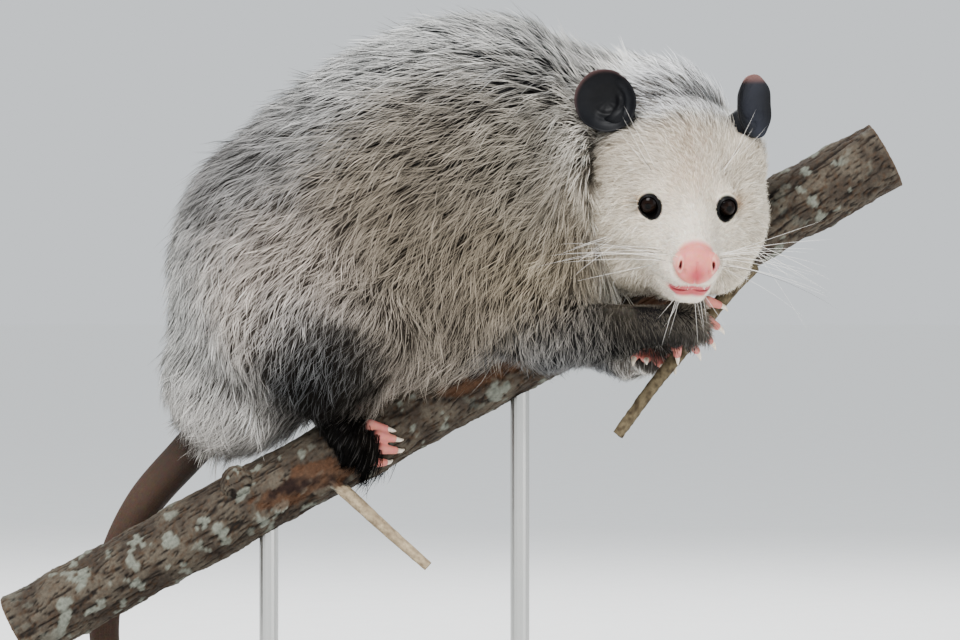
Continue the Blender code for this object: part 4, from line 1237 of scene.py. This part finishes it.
def add_node(material, kind, settings=None, links=None):
    """Adds a node. A setting is a socket, by name or number, a property of its own, or a ramp's stops."""
    tree = material.node_tree
    node = tree.nodes.new(kind)
    for name, value in (settings or {}).items():
        if name == "stops":
            ramp = node.color_ramp
            while len(ramp.elements) < len(value):
                ramp.elements.new(0.5)
            for element, (place, tint) in zip(ramp.elements, value):
                element.position = place
                element.color = (*tint, 1) if not isinstance(tint, float) else (tint, tint, tint, 1)
        elif isinstance(name, int) or name in node.inputs:
            node.inputs[name].default_value = value
        else:
            setattr(node, name, value)
    for name, source in (links or {}).items():
        tree.links.new(source, node.inputs[name])
    return node


def new_material(name, settings):
    made = bpy.data.materials.new(name)
    made.use_nodes = True
    shader = made.node_tree.nodes["Principled BSDF"]
    for socket, value in settings.items():
        shader.inputs[socket].default_value = value
    return made, shader


def link(material, source, target):
    material.node_tree.links.new(source, target)


def coat_hair():
    """Opossum hair: keratin, matt, coloured strand by strand."""
    made, shader = new_material("coat_hair", {"Roughness": 0.6, "Specular IOR Level": 0.03})
    tint = add_node(made, "ShaderNodeAttribute", {"attribute_name": "hair_colour"})
    link(made, tint.outputs["Color"], shader.inputs["Base Color"])
    return made


def living_skin():
    """Bare and thinly haired skin: soft, slightly moist on the nose, pebbled; scaled rings on the tail."""
    made, shader = new_material("living_skin", {"Specular IOR Level": 0.12, "Subsurface Weight": 0.1})
    shader.inputs["Subsurface Radius"].default_value = (0.9, 0.35, 0.2)
    shader.inputs["Subsurface Scale"].default_value = 1.2 * MM
    tint = add_node(made, "ShaderNodeAttribute", {"attribute_name": "skin_colour"})
    coords = add_node(made, "ShaderNodeTexCoord")
    mottle = add_node(
        made, "ShaderNodeTexNoise", {"Scale": 420.0, "Detail": 3.0}, {"Vector": coords.outputs["Object"]}
    )
    mixed = add_node(
        made,
        "ShaderNodeMix",
        {"data_type": "RGBA", "blend_type": "SOFT_LIGHT", 0: 0.35},
        {6: tint.outputs["Color"], 7: mottle.outputs["Color"]},
    )
    link(made, mixed.outputs[2], shader.inputs["Base Color"])
    straight = add_node(made, "ShaderNodeAttribute", {"attribute_name": "straight"})
    scales = add_node(
        made,
        "ShaderNodeTexVoronoi",
        {"feature": "DISTANCE_TO_EDGE", "Scale": 1.0, "Randomness": 0.35},
        {"Vector": straight.outputs["Vector"]},
    )
    edges = add_node(
        made, "ShaderNodeMapRange", {"From Max": 0.18, "To Max": 1.0}, {"Value": scales.outputs["Distance"]}
    )
    pebbles = add_node(
        made,
        "ShaderNodeTexVoronoi",
        {"Scale": 1500.0, "feature": "SMOOTH_F1"},
        {"Vector": coords.outputs["Object"]},
    )
    parts = add_node(made, "ShaderNodeAttribute", {"attribute_name": "skin_parts"})
    split = add_node(made, "ShaderNodeSeparateColor", {}, {"Color": parts.outputs["Color"]})
    tail_bump = add_node(
        made,
        "ShaderNodeMath",
        {"operation": "MULTIPLY"},
        {0: edges.outputs["Result"], 1: split.outputs["Red"]},
    )
    soft_bump = add_node(
        made, "ShaderNodeMath", {"operation": "MULTIPLY", 1: -0.5}, {0: pebbles.outputs["Distance"]}
    )
    height = add_node(
        made, "ShaderNodeMath", {"operation": "ADD"}, {0: tail_bump.outputs[0], 1: soft_bump.outputs[0]}
    )
    bump = add_node(
        made, "ShaderNodeBump", {"Strength": 0.55, "Distance": 0.25 * MM}, {"Height": height.outputs[0]}
    )
    link(made, bump.outputs[0], shader.inputs["Normal"])
    rough = add_node(
        made,
        "ShaderNodeMapRange",
        {"To Min": 0.72, "To Max": 0.38},
        {"Value": split.outputs["Green"]},
    )
    link(made, rough.outputs["Result"], shader.inputs["Roughness"])
    return made


def eye_gloss():
    """A wet cornea over a nearly black iris."""
    made, shader = new_material(
        "eye_gloss",
        {"Roughness": 0.03, "IOR": 1.38, "Specular IOR Level": 0.12},
    )
    tint = add_node(made, "ShaderNodeAttribute", {"attribute_name": "eye_colour"})
    link(made, tint.outputs["Color"], shader.inputs["Base Color"])
    return made


def ear_leather():
    """A bare ear: thin, blue-black, leathery skin with fine wrinkles and a faint sheen."""
    made, shader = new_material("ear_leather", {"Roughness": 0.5, "Specular IOR Level": 0.14})
    tint = add_node(made, "ShaderNodeAttribute", {"attribute_name": "ear_colour"})
    link(made, tint.outputs["Color"], shader.inputs["Base Color"])
    coords = add_node(made, "ShaderNodeTexCoord")
    folds = add_node(
        made, "ShaderNodeTexNoise", {"Scale": 260.0, "Detail": 5.0}, {"Vector": coords.outputs["Object"]}
    )
    bump = add_node(
        made, "ShaderNodeBump", {"Strength": 0.5, "Distance": 0.4 * MM}, {"Height": folds.outputs["Fac"]}
    )
    link(made, bump.outputs[0], shader.inputs["Normal"])
    return made


def claw_horn():
    """Claws: pale horn, smooth."""
    made, shader = new_material("claw_horn", {"Roughness": 0.35, "IOR": 1.55})
    coords = add_node(made, "ShaderNodeTexCoord")
    grain = add_node(
        made, "ShaderNodeTexNoise", {"Scale": 700.0, "Detail": 2.0}, {"Vector": coords.outputs["Object"]}
    )
    tint = add_node(
        made,
        "ShaderNodeValToRGB",
        {"stops": ((0.3, linear("#cbb89f")), (0.7, linear("#e6dccb")))},
        {"Fac": grain.outputs["Fac"]},
    )
    link(made, tint.outputs["Color"], shader.inputs["Base Color"])
    return made


def whisker_hair():
    """Whiskers: stiff smooth hairs, white or dark."""
    made, shader = new_material("whisker_hair", {"Roughness": 0.35, "Specular IOR Level": 0.5})
    tint = add_node(made, "ShaderNodeAttribute", {"attribute_name": "hair_colour"})
    link(made, tint.outputs["Color"], shader.inputs["Base Color"])
    return made


def rough_bark():
    """Bark of a living branch: dry, matt and cracked, with lichen and peeled wood by their own colours."""
    made, shader = new_material("rough_bark", {"Roughness": 0.9, "Specular IOR Level": 0.2})
    tint = add_node(made, "ShaderNodeAttribute", {"attribute_name": "bark_colour"})
    coords = add_node(made, "ShaderNodeTexCoord")
    grain = add_node(
        made, "ShaderNodeTexNoise", {"Scale": 600.0, "Detail": 6.0}, {"Vector": coords.outputs["Object"]}
    )
    shade = add_node(
        made, "ShaderNodeMapRange", {"To Min": 0.4, "To Max": 1.6}, {"Value": grain.outputs["Fac"]}
    )
    mixed = add_node(
        made,
        "ShaderNodeMix",
        {"data_type": "RGBA", "blend_type": "MULTIPLY", 0: 1.0},
        {6: tint.outputs["Color"], 7: shade.outputs["Result"]},
    )
    link(made, mixed.outputs[2], shader.inputs["Base Color"])
    bump = add_node(
        made, "ShaderNodeBump", {"Strength": 0.8, "Distance": 0.5 * MM}, {"Height": grain.outputs["Fac"]}
    )
    link(made, bump.outputs[0], shader.inputs["Normal"])
    return made


def lacquered_wood():
    """The base: beech board, stained black and lacquered satin, its grain just showing."""
    made, shader = new_material("lacquered_wood", {"Coat Weight": 0.3, "Coat Roughness": 0.25})
    coords = add_node(made, "ShaderNodeTexCoord")
    stretch = add_node(
        made, "ShaderNodeMapping", {"Scale": (8.0, 160.0, 160.0)}, {"Vector": coords.outputs["Object"]}
    )
    grain = add_node(
        made, "ShaderNodeTexNoise", {"Scale": 3.0, "Detail": 6.0}, {"Vector": stretch.outputs["Vector"]}
    )
    tint = add_node(
        made,
        "ShaderNodeValToRGB",
        {"stops": ((0.35, linear("#1a1817")), (0.65, linear("#2c2826")))},
        {"Fac": grain.outputs["Fac"]},
    )
    link(made, tint.outputs["Color"], shader.inputs["Base Color"])
    rough = add_node(
        made, "ShaderNodeMapRange", {"To Min": 0.36, "To Max": 0.5}, {"Value": grain.outputs["Fac"]}
    )
    link(made, rough.outputs["Result"], shader.inputs["Roughness"])
    bump = add_node(
        made, "ShaderNodeBump", {"Strength": 0.2, "Distance": 0.1 * MM}, {"Height": grain.outputs["Fac"]}
    )
    link(made, bump.outputs[0], shader.inputs["Normal"])
    return made


def brushed_steel():
    """The rods: drawn stainless steel, brushed round."""
    made, shader = new_material("brushed_steel", {"Metallic": 1.0})
    shader.inputs["Base Color"].default_value = (*linear("#b9b9b6"), 1)
    coords = add_node(made, "ShaderNodeTexCoord")
    stretch = add_node(
        made, "ShaderNodeMapping", {"Scale": (40.0, 40.0, 2500.0)}, {"Vector": coords.outputs["Object"]}
    )
    marks = add_node(
        made, "ShaderNodeTexNoise", {"Scale": 1.0, "Detail": 4.0}, {"Vector": stretch.outputs["Vector"]}
    )
    rough = add_node(
        made, "ShaderNodeMapRange", {"To Min": 0.24, "To Max": 0.42}, {"Value": marks.outputs["Fac"]}
    )
    link(made, rough.outputs["Result"], shader.inputs["Roughness"])
    bump = add_node(
        made, "ShaderNodeBump", {"Strength": 0.1, "Distance": 0.02 * MM}, {"Height": marks.outputs["Fac"]}
    )
    link(made, bump.outputs[0], shader.inputs["Normal"])
    return made


def studio_floor():
    """A pale matt paper sweep."""
    made, shader = new_material("studio_floor", {"Roughness": 0.95, "Specular IOR Level": 0.1})
    coords = add_node(made, "ShaderNodeTexCoord")
    tooth = add_node(
        made, "ShaderNodeTexNoise", {"Scale": 30.0, "Detail": 3.0}, {"Vector": coords.outputs["Object"]}
    )
    tint = add_node(
        made,
        "ShaderNodeValToRGB",
        {"stops": ((0.3, linear("#fafaf9")), (0.7, linear("#fdfdfc")))},
        {"Fac": tooth.outputs["Fac"]},
    )
    link(made, tint.outputs["Color"], shader.inputs["Base Color"])
    return made


# Eyes, ears, claws and whiskers.


def make_eye(side, material):
    name = "eye_left" if side > 0 else "eye_right"
    bpy.ops.object.select_all(action="DESELECT")
    bpy.ops.mesh.primitive_uv_sphere_add(segments=64, ring_count=40, radius=1)
    eye = bpy.context.object
    axis = HEAD.to_3x3() @ Vector((0.3 * side, -1, 0.05)).normalized()
    turn = axis.to_track_quat("Z", "Y").to_matrix()
    mesh = eye.data
    points = coordinates(mesh).astype(float)
    forward = points[:, 2]
    bulge = 1 + 0.03 * falloff(np.arccos(np.clip(forward, -1, 1)), 0.1, 1.2)
    placed = (points * bulge[:, None] * EYE_RADIUS * MM) @ np.array(turn).T
    placed = placed + np.array(on_head(EYE_PLACE, side))
    place_vertices(mesh, placed)
    iris = falloff(np.arccos(np.clip(forward, -1, 1)), 0.3, 0.8)
    tint = np.tile(np.array(linear("#050303")), (len(points), 1))
    tint = toward(tint, "#150b07", iris)
    tint = toward(tint, "#020202", falloff(np.arccos(np.clip(forward, -1, 1)), 0.2, 0.3))
    colour_attribute(mesh, "eye_colour", tint)
    mesh.shade_smooth()
    eye.name = mesh.name = name + "_ball"
    mesh.materials.append(material)
    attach(eye, "root")
    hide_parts(name)


def ear_frame(name):
    """An ear's middle and its axes: side, up and front."""
    centre, facing = EARS[name]
    middle = on_head(centre)
    front = (HEAD.to_3x3() @ Vector(facing)).normalized()
    stalk = (middle - on_head(EAR_ROOTS[name])).normalized()
    side = front.cross(stalk).normalized()
    up = side.cross(front).normalized()
    return middle, np.array((side, up, front))


def make_ear(name, material):
    """A thin cup with a rolled rim, low folds inside and a stalk that goes down into the crown's fur."""
    middle, axes = ear_frame(name)
    up, front = Vector(axes[1]), Vector(axes[2])
    rings, turns = 20, 72
    share = np.linspace(0.02, 1, rings)[:, None]
    turn = np.linspace(0, 2 * math.pi, turns, endpoint=False)[None]
    x = np.cos(turn) * share * 0.95
    y = np.sin(turn) * share
    wave = 0.35 * np.sin(turn * 3 + 1) + 0.25 * np.sin(turn * 7 + 2)
    floor_depth = -EAR_DEPTH * (1 - share**2)
    fold = 1.3 * np.exp(-(((share - 0.45) / 0.09) ** 2)) * np.clip(-np.sin(turn) + 0.3, 0, 1)
    fold += 1.0 * np.exp(-(((share - 0.68) / 0.07) ** 2)) * np.clip(-np.sin(turn + 0.4) + 0.1, 0, 1)
    fold += 0.5 * np.sin(turn * 9) * share**2 * (1 - share) * 2
    z = floor_depth + fold + wave * share**3
    notch = np.exp(-(((turn - 2.75) / 0.1) ** 2)) * 0.05 * share**6 if name == "ear_right" else 0
    radius = EAR_RADIUS * (1 - notch) + wave * 0.4 * share**4
    inner = np.stack((x * radius, y * radius, z), axis=2)
    points = middle + Vector((0, 0, 0))
    grid = inner.reshape(-1, 3) * MM @ axes + np.array(points)
    faces = []
    for i in range(rings - 1):
        for j in range(turns):
            k = (j + 1) % turns
            faces.append((i * turns + j, i * turns + k, (i + 1) * turns + k, (i + 1) * turns + j))
    faces.append(tuple(reversed(range(turns))))
    mesh = bpy.data.meshes.new(name + "_leather")
    mesh.from_pydata(grid, [], faces)
    ear = bpy.data.objects.new(name + "_leather", mesh)
    bpy.context.scene.collection.objects.link(ear)
    only(ear)
    bm = bmesh.new()
    bm.from_mesh(mesh)
    bmesh.ops.recalc_face_normals(bm, faces=bm.faces)
    way = sum((f.normal for f in bm.faces), Vector())
    if way.dot(front) < 0:
        bmesh.ops.reverse_faces(bm, faces=bm.faces)
    bm.to_mesh(mesh)
    bm.free()
    changed(ear, "SOLIDIFY", thickness=1.0 * MM, offset=-1.0, use_rim=True)
    changed(ear, "SUBSURF", levels=1, render_levels=1)
    high = middle - (front * (EAR_DEPTH - 1) + up * EAR_RADIUS * 0.35) * MM
    low = on_head(EAR_ROOTS[name])
    half = low * 0.5 + high * 0.5
    stem = smooth_path([(tuple(low / MM), 9.5), (tuple(half / MM), 8.3), (tuple(high / MM), 6.5)], 6)
    column = tube("stem", stem, 32)
    ear = joined(name + "_leather", [ear, column])
    mesh = ear.data
    points = coordinates(mesh).astype(float)
    rel = (points - np.array(middle)) / MM @ axes.T
    out = np.linalg.norm(rel[:, :2], axis=1)
    tint = np.tile(np.array(linear("#040406")), (len(points), 1))
    # Painted highlight: a lighter ring round the middle of the cup.
    tint = toward(tint, "#0a0b0f", falloff(np.abs(out - 12), 0, 6) * 0.8)
    top = np.clip(rel[:, 1] / EAR_RADIUS, 0, 1)
    edge = falloff(EAR_RADIUS - out, 0.3, 2.2)
    if name == "ear_left":
        # Painted sheen: a bluish grey band down the ear.
        tint = toward(tint, "#30323b", falloff(np.abs(rel[:, 0] + 4), 0, 12) * 0.6)
        tint = toward(tint, "#7d5a54", falloff(EAR_RADIUS - rel[:, 1], 1.0, 5.0) * 0.85)
    else:
        tint = toward(tint, "#44302f", edge * top * 0.9)
    colour_attribute(mesh, "ear_colour", tint)
    mesh.shade_smooth()
    mesh.materials.clear()
    mesh.materials.append(material)
    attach(ear, "root")
    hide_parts(name)


def make_claws(material):
    """Short curved claws, one at the tip of each digit but the hind feet's thumbs."""
    for paw_name, (_, digits) in PAWS.items():
        claws = []
        for number, points in enumerate(digits):
            if "foot" in paw_name and number == 4:
                continue
            way = (points[-1] - points[-2]).normalized()
            down = Vector((0, 0.4, -1))
            if "foot" in paw_name:
                down = (branch_axis(points[-1].x) - points[-1]).normalized()
            start = points[-1] + way * 1.0 * MM
            length = CLAW_LENGTH * MM
            mid = start + way * length * 0.55 + down * 0.2 * MM
            end = start + way * length * 0.95 + down * 1.6 * MM
            stations = smooth_path(
                [(tuple(start / MM), 1.5), (tuple(mid / MM), 1.1), (tuple(end / MM), 0.3)], 5
            )
            claws.append(tube("claw", stations, 12))
        made = joined(paw_name + "_claws", claws)
        made.data.shade_smooth()
        made.data.materials.append(material)
        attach(made, "root")


def hair_tubes(name, lines, colours, material, sides=6):
    """Many thin tapering hairs as one mesh. A line is points in metres with its radius at the root."""
    points, faces, tints = [], [], []
    for (line, radius), tint in zip(lines, colours):
        line = np.array(line)
        along = unit(np.gradient(line, axis=0))
        side = unit(np.cross(along, (0.13, 0.21, 1)))
        up = np.cross(side, along)
        count = len(line)
        base = len(points)
        for i in range(count - 1):
            r = radius * (1 - (i / (count - 1)) ** 1.3 * 0.85)
            for j in range(sides):
                turn = 2 * math.pi * j / sides
                points.append(line[i] + (side[i] * math.cos(turn) + up[i] * math.sin(turn)) * r)
        points.append(line[-1])
        tip = len(points) - 1
        tints += [tint] * (len(points) - base)
        for i in range(count - 2):
            for j in range(sides):
                k = (j + 1) % sides
                ring, after = base + i * sides, base + (i + 1) * sides
                faces.append((ring + j, ring + k, after + k, after + j))
        last = base + (count - 2) * sides
        for j in range(sides):
            faces.append((last + j, last + (j + 1) % sides, tip))
        faces.append(tuple(base + j for j in reversed(range(sides))))
    mesh = bpy.data.meshes.new(name)
    mesh.from_pydata(points, [], faces)
    bm = bmesh.new()
    bm.from_mesh(mesh)
    bmesh.ops.recalc_face_normals(bm, faces=bm.faces)
    bm.to_mesh(mesh)
    bm.free()
    colour_attribute(mesh, "hair_colour", np.array(tints))
    mesh.shade_smooth()
    mesh.materials.append(material)
    obj = bpy.data.objects.new(name, mesh)
    bpy.context.scene.collection.objects.link(obj)
    return obj


# Whiskers in the head's frame: root on the face, the way it starts, length, and its droop.
WHISKERS = {
    "lip": ((13, -30, -18), (9, 10, 9), (0.85, 0.3, -0.12), (34, 74), 15),
    "cheek": ((33, 8, -22), (4, 6, 6), (0.75, 0.3, -0.4), (30, 55), 6),
    "brow": ((17, 8, 14), (4, 4, 2), (0.45, 0.2, 0.85), (24, 40), 4),
    "chin": ((5, -26, -40), (8, 14, 3), (0.3, 0.2, -1), (12, 26), 5),
}


def make_whiskers(surface, material):
    draw = np.random.default_rng(SEED + 5)
    lines, colours = [], []
    for kind, (centre, spread_by, way, lengths, count) in WHISKERS.items():
        for side in (1, -1):
            for _ in range(count):
                place = np.array(centre) + (draw.random(3) - 0.5) * spread_by
                near, normal, _, _ = surface.find_nearest(on_head(place, side))
                start = HEAD.to_3x3() @ Vector((way[0] * side, way[1], way[2]))
                start = (start + Vector(draw.normal(0, 0.16, 3)) + normal * 0.4).normalized()
                length = draw.uniform(*lengths) * MM
                droop = draw.uniform(0.05, 0.3) * (1 if way[2] < 0.5 else -0.1)
                back = HEAD.to_3x3() @ Vector((0.1 * side, 1, 0)) * draw.uniform(0.05, 0.35)
                line = []
                for k in range(10):
                    t = k / 9
                    curl = start * t + (back - Vector((0, 0, droop))) * t * t
                    line.append(tuple(near - normal * 0.8 * MM + curl * length))
                lines.append((line, draw.uniform(0.07, 0.12) * MM))
                dark = kind in ("lip", "brow") and draw.random() < 0.3
                colours.append(linear("#2a211c") if dark else linear("#efeae2"))
    obj = hair_tubes("whiskers", lines, colours, material)
    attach(obj, "root")


# The perch.


def branch_profile(s):
    swell = 1 + BRANCH_UNEVEN * noise.noise(Vector((s * 22, 3.1, 0)))
    return BRANCH_RADIUS * swell


def make_branch(material):
    rings, turns = ((350, 128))
    along = Vector((math.cos(BRANCH_SLOPE), 0, math.sin(BRANCH_SLOPE)))
    stations = []
    for i in range(rings + 1):
        s = BRANCH_ENDS[0] + (BRANCH_ENDS[1] - BRANCH_ENDS[0]) * i / rings
        stations.append((BRANCH_MID + along * s, branch_profile(s)))
    branch = tube("branch", stations, turns)
    start, first, end, last = STUB
    root = mm(start) + (mm(start) - mm(end)).normalized() * 6 * MM
    stub_line = [(tuple(root / MM), first + 1.2), (start, first), ((-30, -16, 150), 3.1), (end, last)]
    stub_line = smooth_path(stub_line, 12)
    stub = tube("stub", stub_line, 24)
    knob = joined("knob", [ball(mm(KNOB[0]), (KNOB[1] * MM,) * 3, detail=5)])
    combined(branch, [stub, knob], "UNION")
    mesh = branch.data
    points = coordinates(mesh).astype(float)
    normals = normals_of(mesh).astype(float)
    rel = points - np.array(BRANCH_MID)
    axis = np.array(along)
    s = rel @ axis / MM
    up = np.array((-math.sin(BRANCH_SLOPE), 0, math.cos(BRANCH_SLOPE)))
    out = rel - (rel @ axis)[:, None] * axis
    angle = np.degrees(np.arctan2(out @ up, -out[:, 1]))
    radius = np.linalg.norm(out, axis=1) / MM
    ends = (s < BRANCH_ENDS[0] / MM + 0.6) | (s > BRANCH_ENDS[1] / MM - 0.6)
    on_stub = (radius > 21.5) & (np.linalg.norm(points - np.array(mm(KNOB[0])), axis=1) > 12 * MM)
    rough = np.array([fractal((p[0], p[1], p[2]), 1 / 14, 4) for p in points / MM])
    crack = np.array([ridged(a, b) for a, b in zip(s, angle * 0.33)])
    fine = np.array([noise.noise(Vector(p) * 0.55) for p in points / MM])
    lichen = lichen_mask(points / MM, s)
    peeled = peeled_mask(s, angle, rough)
    height = rough * 1.0 + crack * 0.9 + fine * 0.35 + lichen * 0.5 - peeled * 1.2
    height = np.where(ends, fine * 0.3, height)
    height = np.where(on_stub, fine * 0.25, height)
    height = np.clip(height, -2.2, 1.3)
    place_vertices(mesh, points + normals * (height * MM)[:, None])
    tint = np.tile(np.array(linear("#332c25")), (len(points), 1))
    tint = toward(tint, "#4c453b", np.clip(rough * 1.5 + 0.5, 0, 1))
    # Painted shade: the cracks are painted near black.
    tint = toward(tint, "#15100c", np.clip(-crack * 1.6, 0, 1))
    tint = toward(tint, "#3b2a1b", np.clip(fine * 1.2, 0, 0.7))
    tint = toward(tint, "#6f7268", lichen * (0.75 + 0.25 * fine))
    tint = toward(tint, "#4a2f1c", peeled * 0.65)
    tint = toward(tint, "#1c0f0a", peeled * np.clip(rough * 3, 0, 1))
    tint = np.where(ends[:, None], end_grain(radius, angle), tint)
    bare_wood = toward(tint * 0 + np.array(linear("#7a6a55")), "#a59478", np.clip(fine + 0.5, 0, 1))
    tint = np.where(on_stub[:, None], bare_wood, tint)
    colour_attribute(mesh, "bark_colour", tint)
    mesh.shade_smooth()
    mesh.set_sharp_from_angle(angle=math.radians(50))
    branch.name = mesh.name = "branch_bark"
    mesh.materials.clear()
    mesh.materials.append(material)
    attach(branch, "root")
    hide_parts("perch_branch")


def fractal(place, scale, octaves):
    total, weight = 0.0, 1.0
    point = Vector(place) * scale
    for _ in range(octaves):
        total += noise.noise(point) * weight
        point = point * 2.1
        weight *= 0.5
    return total


def ridged(along, around):
    """Long plates parted by cracks, from -1 in a crack to 0 on a plate."""
    warp = noise.noise(Vector((along * 0.05, around * 0.2, 4)))
    value = noise.noise(Vector((along * 0.055 + warp, around * 0.32 + warp, 9)))
    return -max(0.0, 1 - abs(value) * 9)


# Lichen patches: a place along the branch, a place round it in degrees, and sizes.
LICHEN = (
    (-235, 20, 26, 34), (-205, 40, 22, 30), (-188, -10, 16, 24), (-160, 30, 12, 20), (-66, -25, 12, 22),
    (-30, -20, 14, 22), (-52, 5, 14, 18), (60, 20, 16, 26), (110, 40, 20, 30), (160, 10, 18, 26),
    (205, 30, 16, 24), (-120, 150, 26, 40), (20, 170, 26, 40), (140, 190, 26, 40), (-220, 200, 22, 40),
)
PEELED = ((-112, -12, 24, 26), (-92, -30, 16, 16), (-4, 10, 20, 22), (14, -5, 14, 16), (96, -35, 16, 18))


def patch_value(s, angle, patches, edge):
    total = np.zeros(len(s))
    for place, turn, length, width in patches:
        around = (angle - turn + 180) % 360 - 180
        away = np.sqrt(((s - place) / length) ** 2 + (around / width) ** 2)
        total = np.maximum(total, falloff(away + edge * 0.55, 0.85, 1.0))
    return total


def lichen_mask(points, s):
    ragged = np.array([noise.noise(Vector(p) * 0.11) + 0.5 * noise.noise(Vector(p) * 0.3) for p in points])
    spread_out = falloff(0.52 - ragged, 0.12, 0.2)
    near = np.zeros(len(s))
    for place, _, length, _ in LICHEN:
        near = np.maximum(near, falloff(np.abs(s - place), length * 0.6, length * 1.2))
    return spread_out * (0.25 + 0.75 * near)


def peeled_mask(s, angle, rough):
    return patch_value(s, angle, PEELED, rough)


def end_grain(radius, angle):
    """Sawn ends: pale wood with growth rings under the bark."""
    rings = 0.5 + 0.5 * np.sin(radius * 4.2 + 0.6 * np.sin(np.radians(angle) * 2))
    tint = np.tile(np.array(linear("#c9a877")), (len(radius), 1))
    tint = toward(tint, "#9a7748", rings * 0.7)
    return toward(tint, "#4a3c2f", falloff(18.5 - radius, 1.0, 2.2))


def make_twig(material):
    path = smooth_path([(place, radius) for place, radius in zip(TWIG_PATH, TWIG_RADII)], 26)
    twig = tube("twig_bark", path, 30)
    mesh = twig.data
    points = coordinates(mesh).astype(float)
    normals = normals_of(mesh).astype(float)
    fine = np.array([fractal(tuple(p), 0.35, 3) for p in points / MM])
    place_vertices(mesh, points + normals * (np.clip(fine, -1, 1) * 0.35 * MM)[:, None])
    tint = np.tile(np.array(linear("#5f543f")), (len(points), 1))
    tint = toward(tint, "#3a3022", np.clip(fine * 1.5 + 0.3, 0, 1))
    colour_attribute(mesh, "bark_colour", tint)
    mesh.materials.append(material)
    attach(twig, "root")
    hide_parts("perch_twig")


def straight_coordinates(points):
    """Each point's place as if the tail were straight, in scales: round it in X and Y, along it in Z."""
    path = np.array([tuple(p) for p, _ in tail_path()])
    radii = np.array([r for _, r in tail_path()])
    steps = np.linalg.norm(np.diff(path, axis=0), axis=1)
    lengths = np.concatenate(((0,), np.cumsum(steps)))
    made = np.zeros((len(points), 3))
    away, _ = path_distance(points, TAIL_LINE)
    mine = np.where(away < 18)[0]
    near = points[mine]
    index = ((near[:, None] - path[None]) ** 2).sum(axis=2).argmin(axis=1)
    along = unit(np.gradient(path, axis=0))[index]
    rel = near - path[index]
    height = lengths[index] + (rel * along).sum(axis=1)
    flat = rel - along * (rel * along).sum(axis=1)[:, None]
    side = unit(np.cross(along, (0.0, 1.0, 0.0)))
    up = np.cross(along, side)
    turn = np.arctan2((flat * up).sum(axis=1), (flat * side).sum(axis=1))
    size = 1.5 * MM
    round_by = radii[index] / size
    made[mine] = np.stack((np.cos(turn) * round_by, np.sin(turn) * round_by, height / size), axis=1)
    return made


def finish_skin(skin, material):
    mesh = skin.data
    points = coordinates(mesh).astype(float)
    tint, parts = skin_colours(points)
    colour_attribute(mesh, "skin_colour", tint)
    moist = np.clip(parts["nose"] + parts["lips"] * 0.8 + parts["rims"] + parts["digits"] * 0.4, 0, 1)
    masks = np.stack((parts["tail"], moist, np.zeros(len(points))), axis=1)
    colour_attribute(mesh, "skin_parts", masks)
    straight = mesh.attributes.new("straight", "FLOAT_VECTOR", "POINT")
    straight.data.foreach_set("vector", straight_coordinates(points).astype(np.float32).ravel())
    mesh.materials.clear()
    mesh.materials.append(material)
    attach(skin, "root")
    flesh = [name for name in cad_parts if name.split("_")[0] in FLESH]
    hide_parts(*flesh)


# Studio.


def set_camera():
    data = bpy.data.cameras.new("camera")
    data.lens = CAMERA_LENS
    data.sensor_width = 36
    camera = bpy.data.objects.new("camera", data)
    camera.location = CAMERA_PLACE
    camera.rotation_euler = (math.pi / 2, 0, 0)
    bpy.context.scene.collection.objects.link(camera)
    bpy.context.scene.camera = camera


def set_studio(material):
    bpy.ops.object.select_all(action="DESELECT")
    bpy.ops.mesh.primitive_plane_add(size=400, location=(0, 0, 0))
    floor = joined("floor", [bpy.context.object])
    floor.data.materials.append(material)
    world = bpy.data.worlds.new("soft_sky")
    world.use_nodes = True
    shade = world.node_tree.nodes["Background"]
    shade.inputs["Color"].default_value = (*linear("#e9eef2"), 1)
    shade.inputs["Strength"].default_value = 1.05
    bpy.context.scene.world = world
    for name, place, size, power in (
        ("key", (-0.6, -1.5, 1.8), 1.1, 85),
        ("fill", (1.4, -1.2, 0.7), 1.2, 12),
        ("back", (0.2, 1.3, 1.5), 1.2, 34),
    ):
        data = bpy.data.lights.new(name, "AREA")
        data.energy = power
        data.size = size
        light = bpy.data.objects.new(name, data)
        light.location = place
        aim = Vector((0.03, 0, 0.27)) - Vector(place)
        light.rotation_euler = aim.to_track_quat("-Z", "Y").to_euler()
        bpy.context.scene.collection.objects.link(light)


def main():
    bpy.ops.object.select_all(action="DESELECT")
    set_camera()
    set_studio(studio_floor())
    skin = whole_skin()
    coat = full_coat()
    scalp = Scalp(skin, surface_of(coat))
    bpy.data.objects.remove(coat)
    surface = surface_of(skin)
    finish_skin(skin, living_skin())
    grow_coat(scalp, {"coat_hair": coat_hair()})
    gloss = eye_gloss()
    for side in (1, -1):
        make_eye(side, gloss)
    leather = ear_leather()
    for name in EARS:
        make_ear(name, leather)
    make_claws(claw_horn())
    make_whiskers(surface, whisker_hair())
    bark = rough_bark()
    make_branch(bark)
    make_twig(bark)
    for name, look in (("stand_base", lacquered_wood()), ("stand_rod_1", brushed_steel())):
        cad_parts[name].data.materials.clear()
        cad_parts[name].data.materials.append(look)
    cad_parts["stand_rod_2"].data.materials.clear()
    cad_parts["stand_rod_2"].data.materials.append(bpy.data.materials["brushed_steel"])


main()
